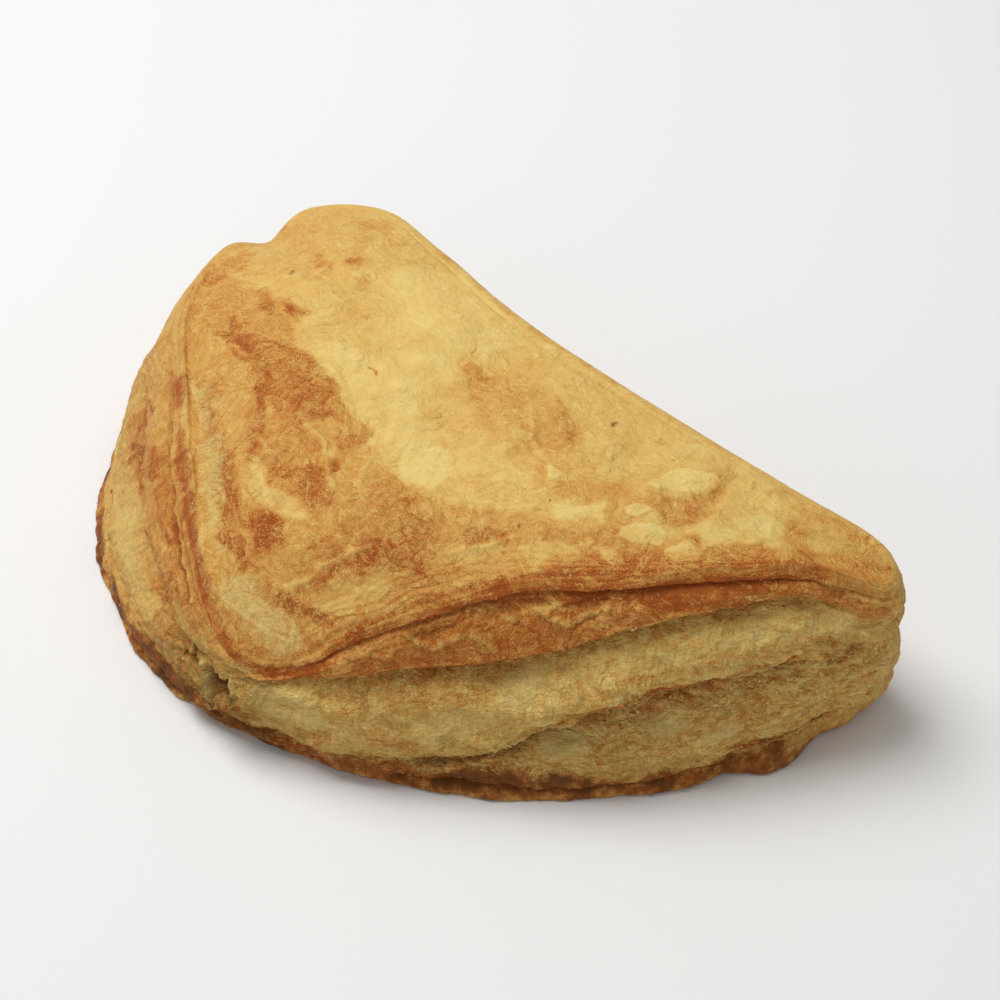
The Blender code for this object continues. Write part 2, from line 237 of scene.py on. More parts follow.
# Areas of the top crust: how much browner (below 0 is paler), how far raised, how soft the border is, and
# the outline. Folds and ledges are a line in the same way, with its width.
TOP_AREAS = (
    (0.22, 0, 1.8, (
        (-84, 3), (-62, 1.5), (-50, 1.5), (-44, 1), (-41, -4), (-37, -7), (-30, -7.5), (-24, -9),
        (-18.5, -11.5), (-13, -11), (-9, -13), (-4, -16), (3, -16.5), (9, -14.5), (15, -13.5), (20, -9),
        (27, -6), (33, 0), (39, 6), (46, 9), (53, 15), (60, 21), (66, 31), (80, 42), (82, -60),
        (-84, -60))),
    (0.16, 0.25, 0.7, (
        (-57, -10), (-48, -9.5), (-41, -8), (-34.5, -6.3), (-27, -7.6), (-22, -9.3), (-18.7, -11.3),
        (-17.6, -14), (-19, -17), (-22, -20), (-27, -20.5), (-31, -19), (-36, -17.5), (-42, -15),
        (-50, -13.5), (-57, -12.5))),
    (0.11, 0.2, 0.8, (
        (-36, -18.5), (-29.5, -21), (-20, -19.5), (-15, -19.8), (-9, -23.7), (-3.5, -26), (-3.3, -29),
        (-6, -32), (-14, -31.5), (-22, -30), (-27, -29), (-31, -25))),
    (0.15, 0.15, 0.6, ((-14.5, -11.8), (-9.5, -11.2), (-8.8, -17), (-11, -19.5), (-14, -18))),
    (0.17, 0.1, 0.8, (
        (-31, -30.5), (-27, -30), (-23.5, -34), (-19, -36), (-12, -35.8), (-7, -35.5), (-5.5, -38),
        (-8, -40.3), (-14, -40), (-20, -40.5), (-25, -37.5), (-29, -34.5))),
    (0.09, 0.2, 0.8, (
        (0, -17), (8, -16.5), (14, -16), (17.8, -20), (18, -26), (15, -30), (11, -34), (6, -39), (2, -42.5),
        (0, -37), (3, -32), (1, -26))),
    (0.12, 0.1, 5, (
        (-10, 13), (-4, 19), (4, 19.5), (12, 18), (20, 14), (27, 11), (34, 9.5), (37, 6), (31, 3),
        (22, 1.5), (14, 1.5), (6, 3), (-2, 5), (-8, 8))),
    (-0.11, 0, 2.5, (
        (-43, 24), (-32, 12), (-26, 2), (-36, -4), (-30, -6), (-12, -10.5), (-4, -12.5), (0, -15),
        (6, -14.5), (9, -9), (0, -5), (-9, 2), (-13, 14), (-9, 26), (-20, 33), (-36, 33))),
    (-0.1, -0.15, 1, ((-4, -8), (2, -5), (8, -8), (9, -13), (4, -17), (-1, -14))),
    (0.1, 0, 4, ((-82, 36), (-62, 34), (-54, 24), (-50, 12), (-55, 3), (-82, 3))),
    (0.07, 0, 1.5, ((46, 36), (54, 30), (58, 24), (64, 28), (80, 40), (60, 42))),
    (-0.18, 0.35, 0.7, (
        (34.9, 14), (35.6, 20), (38, 24.6), (41.1, 27.2), (43.7, 25.8), (44.2, 21.7), (41, 19.1),
        (38.7, 15.7))),
    (-0.26, 0.2, 0.5, ((18.8, 4.7), (19.3, 5.9), (22, 6.1), (23.9, 4.3), (22.1, 2.6))),
    (-0.3, 0.2, 0.4, ((37.2, 8.2), (37, 9.9), (38.3, 11.3), (40.3, 11.2), (40.5, 9.4), (39, 7.8))),
    (-0.3, 0.3, 0.4, (
        (39.3, 2.8), (39.7, 5.2), (41.3, 8), (43.3, 9.4), (45.8, 9.4), (45.9, 6.3), (43.5, 4.1))),
    (-0.3, 0.3, 0.4, ((46.9, 6.3), (48.9, 9.5), (52.3, 11.5), (52.9, 9), (50.8, 5.5), (48.5, 5.3))),
    (-0.2, 0.2, 0.6, (
        (29.3, -11.1), (31.8, -7.6), (36.7, -4.6), (39.1, -4.6), (38.1, -7.3), (33.3, -11.7))),
    (-0.18, 0.2, 0.5, ((38.7, -1.8), (42, 1.2), (45.3, 3.6), (45.1, 0.6), (41.6, -3))),
    (0.1, 0, 1, ((35, 9), (36, 14), (40, 14.5), (44, 19), (48, 19), (46, 12), (41, 9), (37, 5), (34, 3))),
    (-0.1, 0.15, 0.6, ((46, 13), (49, 17), (54, 19), (53, 14), (49, 10.5))),
    (-0.12, 0.15, 0.6, ((50, 21), (54, 27), (59, 28), (58, 22), (53, 19.5))),
    (-0.14, 0.1, 0.6, ((28, -1), (33, 4), (37, 4), (36, -2), (31, -5))),
    (-0.16, 0.15, 0.6, ((-20.5, -31.7), (-13, -31.9), (-5, -32), (-6, -34.6), (-13, -34.8), (-20, -34))),
    (-0.12, 0.1, 0.6, ((-24.5, -31), (-21.5, -30.8), (-20.5, -34), (-23.5, -34.5))),
)
FOLDS = (
    (-0.22, 0.5, 0.6, ((-20, -19.3), (-15, -19.9), (-8.9, -23.8), (-3.3, -26.5))),
    (0.35, -0.8, 0.6, ((-9.6, -21.2), (-7.2, -22.9))),
    (0.12, -0.5, 0.8, ((-35.6, -18.2), (-29.4, -22.1), (-23.3, -29.3))),
    # A pale raised fold: its paleness is a painted highlight along the ridge
    (-0.25, 0.6, 0.6, ((9, -30.2), (3.4, -38.6), (-1.4, -43.4))),
    (-0.2, 0.5, 0.6, ((26, -11), (20.5, -21))),
    (0.1, 0.6, 0.8, ((-19, -41.2), (-8, -43.5), (2, -43.4), (12, -40))),
    (-0.08, 0.3, 0.6, ((30, -8), (36, 1), (34, 8))),
    (0.15, 0.5, 0.8, ((-50, -22), (-41, -25), (-33, -29.5), (-26, -37))),
    (0.12, -0.4, 0.8, ((-53, -11.5), (-40, -13.5), (-33, -17))),
    (-0.06, 0.35, 0.7, ((2, 16), (14, 8), (24, 2))),
    (0.06, 0.3, 0.7, ((8, 19), (14, 14.5), (20, 11))),
    (0.05, -0.25, 0.8, ((-6, 10), (6, 5))),
    (0.08, -0.35, 1.2, ((44, 30), (46, 22), (42, 15))),
    (-0.06, 0.35, 0.9, ((50, 33), (58, 24), (56, 15))),
    (-0.1, 0.3, 0.6, ((-14, -10.8), (-8, -12.8), (-4, -16), (-2, -22))),
    (-0.15, 0.4, 0.6, ((18, -27), (14.5, -33), (9, -40))),
    (-0.2, 0.5, 0.6, ((-22, -29.5), (-19, -32.5), (-11, -34.8), (-4, -33))),
    (0.05, 0.3, 0.8, ((-60, 2), (-50, 3), (-44, 2.5))),
    (-0.08, 0.25, 0.6, ((14, -12), (22, -6), (30, 2))),
)
# Strokes of the top from (x, y) to (x, y), their width, and how much browner
TOP_STROKES = (
    (-29, -13, -24, -14.5, 2.6, 0.12), (-24, -10, -20, -15, 2.2, 0.12), (-53, -11.5, -40, -12.5, 1.3, 0.14),
    (-40, -9, -30, -9, 1.6, 0.08), (-18, -29, -13, -27.8, 1.1, 0.18), (-10, -25.5, -5, -29.5, 2.8, 0.2),
    (-11.5, -37.5, -9, -38, 3, 0.2), (-11, -37.4, -9.6, -37.8, 1.5, 0.36),
    (-28.5, -31, -21, -37.5, 1.6, 0.12), (-36, -18, -29.5, -22, 0.9, 0.24),
    (-29.5, -22, -23.5, -29, 1.1, 0.16), (8.5, -19, 15, -22, 2.4, 0.12), (11, -28, 18.5, -26, 1.3, 0.2),
    (9.5, -30.5, 4.5, -38, 1.5, 0.22), (12.5, -25, 10, -32, 1.6, 0.12), (-19, -41.5, -8, -43.8, 0.8, 0.32),
    (-1, -44, 11, -40.5, 0.7, 0.28), (21.5, -16, 25.5, -11.5, 1.1, 0.26), (2, 12, 20, 8, 3, 0.07),
    (12, 16, 20, 12.5, 1.6, 0.12), (-12, 15, -2, 9, 2.4, 0.08), (42, 29.5, 45.5, 17, 1.8, 0.2),
    (41, 13.5, 45, 13.5, 2.5, 0.18), (26, 3, 34, 9, 2.4, 0.1), (53, 10, 60, 19, 2.2, 0.16),
    (46, 2, 51, 6, 2.2, 0.18), (37, -9, 45, -1, 2.4, 0.2), (50, 31, 52, 34, 1.3, 0.24),
    (60, 29.5, 65, 25, 2.2, 0.22), (68, 36, 73, 30, 2.4, 0.12), (55, 33, 68, 37, 1.4, 0.14),
    (-47, 0.5, -44, 0.8, 1.2, 0.28), (-52.5, -1, -50, -2.5, 1.3, 0.28), (-56, -8, -52, -8.6, 1.2, 0.24),
    (-71, 8, -70, 0, 2.4, 0.18), (-62, -4, -48, -7, 2.4, 0.04), (-58, 1, -47, 0.5, 0.8, 0.14),
    (-66, -3, -60, -8, 2, 0.04), (10, -38, 14, -34, 2.5, -0.1), (-60, 33, -52, 30, 3, 0.12),
    (-57, 16, -52, 14, 1.4, 0.18), (-50.5, 19.6, -48, 19, 1.2, 0.26), (-45, 17, -41, 15, 1.3, 0.16),
    (-56, 27, -50, 19, 1.2, 0.14), (-22.5, -0.8, -20.8, -1.8, 0.5, 0.5), (-46, -20, -40, -27, 1.4, 0.14),
    (28.7, 26.4, 29.5, 25.6, 0.6, 0.3), (16, -30, 24, -22, 1.6, 0.12), (30, -7, 36, 0, 0.9, 0.12),
    (-10, 12.5, -7.5, 12.6, 1.3, 0.16),
)
# Red-brown marks along the top's edge, in the same way, with places as (station, millimetres down from the
# edge), where less than 0 is on the top
EDGE_MARKS = (
    (10.87, 0, 11.09, 0, 1.6, 0.45), (11.45, 0.2, 11.7, 0, 1, 0.3), (11.75, 0.3, 12.05, 0, 1.5, 0.42),
    (12.2, 0.2, 12.55, 0, 1.3, 0.55), (12.6, 0.2, 12.8, 0.2, 1, 0.3), (12.85, 0.2, 13.12, 0.2, 1.5, 0.5),
    (13.2, 0.4, 13.6, 0.6, 1.2, 0.3), (13.75, 0.9, 14.1, 1.6, 1.5, 0.42), (14.1, 2.2, 14.7, 3.4, 1.9, 0.42),
    (14.7, 3.4, 15.25, 3.8, 1.9, 0.4), (15.25, 3.6, 15.6, 2.2, 1.7, 0.36),
    (15.6, 1.8, 15.9, 0.8, 1.4, 0.28), (15.8, 0.5, 17, 0.5, 1.5, 0.2), (17, 0.5, 19.2, 0.6, 1.5, 0.26),
    # The thin lines 2 mm down lie in the crease under the top lip: partly painted shade, partly red-brown
    # edge
    (15.8, 2, 16.6, 2, 0.6, 0.2), (16.6, 2, 17.6, 2.1, 0.6, 0.36), (17.6, 2.1, 19.2, 2.2, 0.6, 0.3),
    (18.1, 4, 20, 4.4, 2.2, 0.2), (19.2, 0.8, 20.1, 0.8, 1.2, 0.1),
)
# Thin, flaky or bare cream patches of the top, in the same way as its strokes
CREAM_STROKES = (
    (-10, -48.2, 6.5, -46.2, 2.6, 0.72), (-47, -22.5, -40, -27, 2, 0.62), (-36, -30, -26, -37, 2.2, 0.7),
    (-24, -39.5, -17, -43.5, 1.4, 0.5), (1.5, -8, 6, -9, 2.2, 0.35), (-38, -3, -35, -2.5, 1.2, 0.4),
    (-20, 16, -17, 13, 1.6, 0.3), (-19, -33, -7, -33.4, 1, 0.45), (12, -33, 17, -28, 0.9, 0.35),
    (-28.5, 26.5, -27, 26.8, 1.2, 0.3), (-17, -6, -15.5, -5.5, 1, 0.3), (22, -21, 26, -13, 0.6, 0.5),
    (-53, -21, -47, -24, 1, 0.5),
)
# Dark specks of the top: x, y and radius
TOP_SPECKS = (
    (-56.4, 8.8, 0.4), (18.7, 21.9, 0.4), (27, -1.5, 0.25), (25.7, -9.2, 0.25), (50.7, 11.6, 0.25),
    (-30, -17.2, 0.2), (0, -22.5, 0.2), (34.2, 23, 0.2),
)
# Areas, torn edges and ledges, strokes, cream patches and dark marks of the wall, in the same ways, with
# places as hundredths of a station and of the way down
WALL_SCALE = (STATION_WIDTH / 100, WALL_HEIGHT / 100)
WALL_AREAS = (
    (0.1, 0.1, 0.8, (
        (1090, 18), (1062, 34), (1098, 46), (1150, 42), (1220, 38.5), (1300, 36), (1300, 20), (1200, 17),
        (1130, 16))),
    (-0.06, 0, 1, (
        (1110, 50), (1150, 43), (1220, 40), (1290, 45), (1300, 60), (1270, 74), (1160, 74), (1120, 62))),
    (0.18, 0, 0.9, ((1138, 20), (1175, 19), (1155, 38), (1110, 43), (1120, 33))),
    (0.24, 0, 1.2, ((1265, 20), (1295, 20), (1295, 44), (1260, 44))),
    (0.1, 0, 2, ((1290, 40), (1360, 35), (1360, 72), (1290, 72))),
    (0.35, -2.6, 0.7, (
        (1380, 39), (1388, 35), (1402, 34), (1415, 30), (1423, 32), (1430, 42), (1429, 52), (1417, 57),
        (1404, 60), (1395, 50))),
    (0.22, -1.5, 0.7, ((1347, 48), (1357, 41), (1369, 37), (1371, 42), (1358, 49), (1348, 53))),
    (0.1, 0, 1.5, ((1310, 35), (1380, 25), (1440, 25), (1460, 50), (1450, 75), (1360, 75), (1310, 70))),
    (0.28, 0, 1, ((1290, 79), (1430, 77), (1550, 80), (1760, 83), (1760, 90), (1290, 90))),
    (-0.1, 0.15, 0.8, (
        (1450, 24), (1500, 20), (1540, 34), (1545, 56), (1520, 60), (1510, 42), (1480, 50), (1460, 42))),
    (-0.1, 0.2, 0.8, (
        (1630, 56), (1650, 52), (1690, 48), (1730, 41), (1735, 47), (1700, 56), (1670, 65), (1640, 66))),
    # A browner sunk band under the second ledge's torn edge: partly painted shade of its shadowed underside,
    # partly browner crust
    (0.2, -0.7, 0.8, (
        (1715, 66), (1730, 62), (1750, 57.5), (1770, 52.5), (1800, 46.5), (1840, 43), (1900, 38.5),
        (1940, 34), (1980, 31), (1980, 37), (1930, 42), (1890, 45), (1850, 47.5), (1800, 54), (1760, 60.5),
        (1730, 66))),
    (0.1, 0, 1.5, ((1770, 50), (1800, 43), (1840, 39), (1920, 34), (1920, 29), (1840, 33), (1780, 40))),
    (-0.08, 0.2, 0.8, ((1740, 70), (1780, 66), (1780, 74), (1750, 77))),
    (0.1, -1, 0.5, ((1684, 8.5), (1705, 7), (1730, 7.5), (1742, 10), (1720, 13.5), (1695, 12.5))),
    (0.1, -1, 0.5, ((1746, 10), (1760, 8.5), (1780, 9.5), (1778, 14), (1758, 16.5))),
    (0.06, -0.8, 0.5, ((1630, 12.5), (1650, 11), (1668, 13.5), (1650, 16.5))),
    (-0.1, 0.5, 0.6, ((1555, 10), (1590, 9), (1600, 14), (1575, 20), (1560, 17))),
    (-0.12, 0, 1.5, (
        (1720, 34), (1770, 31), (1820, 25), (1900, 19), (1930, 22), (1920, 28), (1820, 35), (1760, 41),
        (1720, 43))),
    (0.1, 0, 1.5, ((1440, 12), (1550, 10), (1550, 19), (1440, 21))),
)
WALL_FOLDS = (
    (-0.5, 1, 0.35, ((1630, 10), (1642, 15), (1655, 17.5), (1675, 17))),
    (-0.5, 0.9, 0.3, ((1680, 17), (1692, 20), (1702, 27))),
    (-0.5, 1, 0.3, ((1730, 13), (1750, 15.5), (1780, 12.5))),
    (-0.4, 0.8, 0.3, ((1684, 9), (1710, 13.5), (1742, 10))),
    (-0.15, 0.4, 0.4, ((1550, 10), (1610, 10), (1680, 8.5))),
    (-0.3, 0.45, 0.5, (
        (1700, 72), (1720, 68), (1750, 62.5), (1800, 54.5), (1840, 48.5), (1900, 45), (1950, 43))),
    (0.1, 0.8, 0.6, ((1970, 27), (1990, 26.5), (2010, 28), (2030, 27))),
    (-0.25, 0.6, 0.5, ((1090, 2), (1157, 5), (1210, 10), (1264, 10.5), (1311, 12))),
    (0.3, -0.7, 0.4, ((1090, 4), (1157, 7.5), (1210, 13), (1264, 13.5), (1311, 15))),
    (0, 0.5, 0.7, ((1088, 19), (1062, 34), (1098, 46), (1150, 42), (1220, 38.5))),
    (0.3, -0.8, 0.45, ((1350, 33), (1362, 40), (1376, 45))),
    (0.15, -0.5, 0.5, ((1335, 55), (1350, 46), (1362, 36))),
    (-0.4, 1.4, 0.8, ((1376, 36), (1383, 41), (1394, 49), (1400, 62))),
    (-0.4, 1.3, 0.8, ((1421, 28), (1430, 40), (1433, 50))),
    (-0.25, 0.8, 0.7, ((1350, 40), (1360, 37), (1376, 34))),
    (0, 0.8, 0.9, ((1385, 80), (1403, 75), (1418, 65), (1437, 48), (1450, 64), (1480, 80))),
    (-0.1, 0.7, 0.6, ((1398, 50), (1415, 50), (1430, 46))),
    (-0.2, 0.4, 0.5, ((1920, 6), (1970, 8), (2010, 10))),
    (-0.2, 0.5, 0.5, ((1930, 24), (1970, 26), (2020, 30))),
    (-0.15, 0.5, 0.5, ((1940, 50), (1990, 53), (2030, 50))),
    (0.2, -0.8, 0.6, ((1890, 86), (1920, 82.5), (1960, 79))),
    (-0.1, 0.4, 0.5, ((1260, 72), (1330, 73), (1390, 72))),
    (-0.2, 0.4, 0.5, ((1780, 20), (1840, 15.5), (1900, 14.5), (1950, 17))),
    (-0.12, 0.4, 0.5, ((1400, 16), (1480, 14), (1540, 12), (1620, 12))),
    (-0.2, 0.5, 0.5, ((1900, 36), (1930, 33), (1960, 37), (1980, 45))),
    (-0.15, 0.35, 0.5, ((1800, 66), (1850, 62), (1900, 62))),
)
WALL_STROKES = (
    (1093, 20, 1062, 34, 1.2, 0.12), (1062, 34, 1100, 46, 1.5, 0.16), (1100, 46, 1160, 41, 1.5, 0.14),
    (1160, 41, 1220, 38.5, 0.9, 0.14), (1460, 72, 1530, 80, 1.6, 0.2), (1150, 17, 1240, 17, 2.6, 0.15),
    (1240, 14, 1330, 20, 2.6, 0.14), (1080, 5, 1320, 6, 2.2, 0.1), (1190, 38, 1210, 38, 1.6, -0.25),
    (1485, 27, 1510, 28, 1.8, -0.25), (1250, 62, 1280, 70, 2.6, 0.14), (1500, 62, 1550, 62, 2, 0.14),
    (1600, 62, 1630, 70, 2, 0.18), (1385, 80, 1403, 76, 1.2, 0.3), (1403, 76, 1418, 66, 1.4, 0.3),
    (1418, 66, 1437, 49, 1.4, 0.34), (1437, 49, 1450, 66, 1.2, 0.3), (1450, 66, 1480, 80, 1.2, 0.3),
    (1920, 30, 1960, 36, 1.8, 0.2), (1890, 84, 1970, 78, 0.9, 0.35), (1750, 8, 1870, 6, 1, 0.22),
    (1690, 22, 1740, 24, 1.4, 0.12), (1760, 19, 1840, 12, 1.2, 0.12), (1590, 18, 1650, 25, 1.6, 0.08),
)
WALL_CREAM = (
    (1170, 50, 1260, 60, 3.6, 0.6), (1140, 62, 1200, 68, 2.4, 0.4), (1290, 50, 1340, 60, 2, 0.3),
    (1460, 30, 1490, 42, 2.4, 0.6), (1515, 45, 1535, 52, 2.2, 0.6), (1502, 30, 1512, 34, 1.6, 0.6),
    (1640, 60, 1680, 56, 2.4, 0.4), (1710, 45, 1730, 43, 1.8, 0.7), (1745, 72, 1770, 72, 1.8, 0.9),
    (1830, 65, 1840, 66, 1.4, 0.8), (1860, 72, 1880, 72, 1, 0.8), (1376, 37, 1394, 49, 0.6, 0.9),
    (1394, 49, 1400, 62, 0.6, 0.9), (1422, 29, 1432, 46, 0.6, 0.9), (1920, 22, 1950, 20, 1.4, 0.5),
)
# Dark marks of the wall: painted shade in the hollows of the left corner, a thin painted shadow line under
# the left edge's first ledge, and dark marks low on the front
WALL_DARK_AND_SHADE = (
    (1400, 43, 1422, 42, 2.6, 1.1), (1352, 47, 1366, 41, 1.3, 0.5), (1630, 79, 1690, 77, 0.7, 0.45),
    (1700, 76, 1740, 68, 0.8, 0.25), (1345, 52, 1360, 42, 0.6, 0.5), (1350, 35, 1372, 42, 0.5, 0.6),
    (1910, 82, 1960, 79, 0.8, 0.6), (1600, 86, 1720, 86, 1.6, 0.2), (1220, 13.5, 1300, 14, 0.4, 0.3),
    (1930, 33, 1970, 33, 1.6, 0.25), (1510, 62, 1520, 70, 0.5, 0.3),
)
STROKE_FADE = 0.7
SPECK_EDGE = 1.5

# How brown plain crust is, from 0, pale, to 1, nearly burnt
TOP_TOAST = 0.23
STRIP_TOAST = 0.37
FIRST_LEAF_TOAST = 0.3
PANEL_TOAST = ((0, 0.42), (3, 0.3), (9, 0.3), (11, 0.38), (13, 0.42), (14.3, 0.44), (15, 0.58), (16, 0.7),
               (18, 0.66), (19, 0.52))
THIRD_LEAF_TOAST = 0.26
LOW_LEAF_TOAST = 0.33
FOLD_TOAST = 0.26
BASE_PAINT = {"toast": 0.75, "dark": 0.3}

# How much browner than that the lips and ledges are, and how much painted shade browns the creases
TOP_LIP_BROWNING = 0.12
TOP_BAND_BROWNING = 0.08
TERRACE_BROWNING = 0.08
TOP_RISER_BROWNING = 0.03
WALL_RISER_BROWNING = 0.05
OPEN_EDGE_BROWNING = 0.12
LIP_BROWNING = 0.22
PANEL_LIP_SHARE = 0.4
PAINTED_CREASE_SHADE_TOAST = 0.3
RIM_BROWNING = 0.45
FOLD_BROWNING = 0.3

# How dark the painted shade in creases, at the foot and in the corner is, and how dark the rim is, from 0 to
# 1
PAINTED_CREASE_SHADE = 0.3
RIM_DARKNESS = 0.48
PAINTED_FOOT_SHADE = 0.3
PAINTED_CORNER_SHADE = 0.28

# How much random waves vary the browning of the strip, the fold, the lips and the rim, and the rim's darkness
STRIP_SPECKLE = 0.2
FOLD_SPECKLE = 0.15
LIP_SPECKLE = 0.4
RIM_SPECKLE = (0.3, 0.25)
RIM_DARK_SPECKLE = (0.6, 0.45)

# Where the rim starts on its way down, and how wide the lips, bands and shades are: millimetres on the lips
# and bands, and shares of the way down elsewhere
RIM_TOP = ((0, 0.9), (4, 0.93), (8, 0.92), (11, 0.88), (12.5, 0.78), (15, 0.73), (16.5, 0.82), (18, 0.85),
           (19, 0.88))
RIM_BLUR = 0.05
TOP_LIP = (1.3, 0.9, 0.8)  # its fading, its width, and how much that varies
TOP_BAND = (2.2, 1.6)  # how far from the edge its middle lies, and its width
TOP_LAYERED = 3.5
LIP_WIDTH = 1.1
LIP_CREAM_WIDTH = 0.35
LIP_SHED_WIDTH = 0.5
CREASE_FADING = 3
FULL_LIP_CREASE = 2.0
FOOT = (0.5, 0.35)  # where the painted shade at the foot starts on the way down, and how soon it is full
# where the painted shade of the left corner starts on the way down, and how soon it is full
CORNER = (0.08, 0.12)
LAYERED_TOP = 0.08
BELLY_MARGIN = 3.0

# How layered, flaky and creamy the parts are, and how readily flakes come off the bellies
LAYERED = (0.6, 0.7, 0.3)  # along the top's edge, on the lips, and on the rest of the open edges
CREAM_FIBRES = 1.4
LEAF_FLAKINESS = np.array([0.2, 0.25, 0.9, 1.2, 0.4])
LEFT_SMOOTHNESS = 0.65
RIM_SMOOTHNESS = 0.7
PLAIN_FLAKINESS = 0.1
TOAST_FLAKINESS = 0.9
FLAKY_TOAST = 0.35
CREAM_FLAKINESS = 0.3
FLAKY_CREAM = 0.12
LIP_CREAM = 0.5
BELLY_SHEDDING = 0.05

# The crust's colours by how brown it is, and those of bare cream layers, pale flakes with painted glints, and
# burnt edges and painted shade
CRUST_COLOURS = (
    (0.0, (0.79, 0.585, 0.205)),
    (0.2, (0.735, 0.483, 0.14)),
    (0.4, (0.65, 0.358, 0.088)),
    (0.6, (0.565, 0.247, 0.055)),
    (0.8, (0.475, 0.15, 0.028)),
    (1.0, (0.36, 0.083, 0.013)),
)
CREAM_COLOUR = (0.745, 0.56, 0.2, 1)
FLAKE_AND_GLINT_COLOUR = (0.88, 0.61, 0.19, 1)
DARK_AND_SHADE_COLOUR = (0.12, 0.046, 0.01, 1)

# What is stored on the mesh for the material: how toasted, cream, dark, layered and flaky each place is,
# where it lies along and across the edge and on the crust, and how readily it sheds flakes
VALUES = ("toast", "cream", "dark", "layers", "flaky", "along", "across", "run", "beside", "side", "shed")

# Waves in the material: length, detail, roughness and distortion
FLOW_LENGTH = 16.0
FLOW_REACH = 0.014
FLOWING_WAVES = {"marbling": (11.0, 6.0, 0.6, 1.0), "mottling": (2.6, 4.0, 0.6, 1.0)}
FIXED_WAVES = {"grain": (0.35, 2.0, 0.75), "sparkle": (0.2, 1.0, 0.5)}
SKINS = (12.0, 4.0, 0.55)
SKIN_LEVELS = 10.0
LINES = (4.0, 4.0, 0.6, 1.5)
LINE_DRIFTS = (6.0,)
FLAKE_DRIFTS = (5.0, 3.0, 0.6)
DRIFTING_SHARE = 0.8
ISLANDS = {"islands": ("rims", 5.0), "small_islands": ("small_rims", 1.9)}
ISLAND_POWER = 3.0
ISLAND_RADIUS = (0.55, -0.02)

# Stretched waves: length and width in millimetres, and distortion
STREAKS = (3.6, 0.9, 0.8)
CRUMPLE = (2.4, 0.9, 0.6)
LAYERS = (11.0, 0.7, 0.0)
FIBRES = (1.1, 4.0, 0.8)
SMALL_FLAKES = (0.85, 0.45, 0.3)

# How sharply patterns are cut out of their waves: what a wave is multiplied by, and what is added to it
CUTS = {"island": (12.0, 0.0), "rim": (-14.0, 1.0), "line": (-32.0, 1.0), "drift": (8.0, -0.1),
        "flake": (9.0, -0.7), "cream": (1.8, -0.55)}

# How much each kind of wave browns the crust. The speckles count for more where it is browner or flakier.
SPECKLES = {"streaks": 0.4, "mottling": 0.35, "grain": 0.4, "sparkle": 0.8, "skins": 0.2, "crumple": 0.6,
            "islands": -0.1, "rims": 0.05, "small_islands": -0.09, "small_rims": 0.03}
LEAST_CONTRAST = 0.16
CONTRAST = {"toast": 1.4, "flaky": 0.7}
BROWNING = {"marbling": 0.4, "layers": 0.7, "fibres": 1.8, "lines": -0.22}
CREAMING = {"mottling": 1.8, "fibres": 2.2, "streaks": 1.0}
HEIGHTS = {"mottling": 0.5, "grain": 0.2, "streaks": 0.5, "skins": 0.1, "crumple": 1.7, "islands": 0.25,
           "small_islands": 0.1, "layers": 0.6, "fibres": 1.3, "lines": 0.25, "flakes": 0.4}
BUMP = {"Distance": 0.0007, "Strength": 0.8}
FLAKE_SHARE = 0.8
CREAM_SHARE = 0.75
DARK_SHARE = 0.88
DARK_MOTTLING = 0.5
PLAIN_ROUGHNESS = 0.58
TOAST_GLOSS = -0.18
MOTTLED_ROUGHNESS = {"mottling": 0.4}
SPECULAR = 0.08

# Square lights: place, goal, width, power and colour, in metres and watts
LIGHTS = {
    "key": ((-0.35, -0.05, 0.85), (0, 0, 0.02), 0.6, 7.0, (1, 1, 1)),
    "fill": ((0.45, -0.5, 0.25), (0.02, -0.02, 0.02), 0.5, 0.45, (1, 0.97, 0.9)),
}
SURROUND = 0.32
FLOOR_LOOK = {"Base Color": (0.86, 0.86, 0.85, 1), "Roughness": 0.9, "Specular IOR Level": 0.1}
FLOOR_REACH = 3.0
FLOOR_GAP = 0.2

CAMERA_TARGET = np.array([0.9, 10.8, 20.0])
CAMERA_ROUND = 46.5
CAMERA_DOWN = 45.0
CAMERA_DISTANCE = 520.0
CAMERA_LENS = 96.4


def unit(value):
    """Keep a value between 0 and 1."""
    return np.clip(value, 0, 1)


def eased(value):
    """Turn an even rise from 0 to 1 into a smooth one."""
    value = unit(value)
    return value * value * (3 - 2 * value)


def bell(distance, width):
    """Fade smoothly from 1 to 0 with distance."""
    return np.exp(-(distance / width) ** 2)


def closed_curve(points, place):
    """Read a smooth closed curve through the points, at places counted in points from the first one."""
    first = np.floor(place).astype(int)
    t = (place - first)[:, None]
    before, start, end, after = (points[(first + step) % len(points)] for step in (-1, 0, 1, 2))
    linear = end - before
    square = 2 * before - 5 * start + 4 * end - after
    cube = 3 * start - before - 3 * end + after
    return start + t * (linear + t * (square + t * cube)) / 2


def around(station, knots):
    """Read a value at each station from its knots, with the ends joined."""
    place, value = np.array(knots, dtype=float).T
    round_trip = len(STATIONS)
    place = np.concatenate([place[-2:] - round_trip, place, place[:2] + round_trip])
    value = np.concatenate([value[-2:], value, value[:2]])
    slope = np.gradient(value, place)
    first = np.searchsorted(place, station, side="right") - 1
    gap = place[first + 1] - place[first]
    t = (station - place[first]) / gap
    blend = eased(t)
    sweep = t * (1 - t) * gap * (slope[first] * (1 - t) - slope[first + 1] * t)
    return value[first] * (1 - blend) + value[first + 1] * blend + sweep


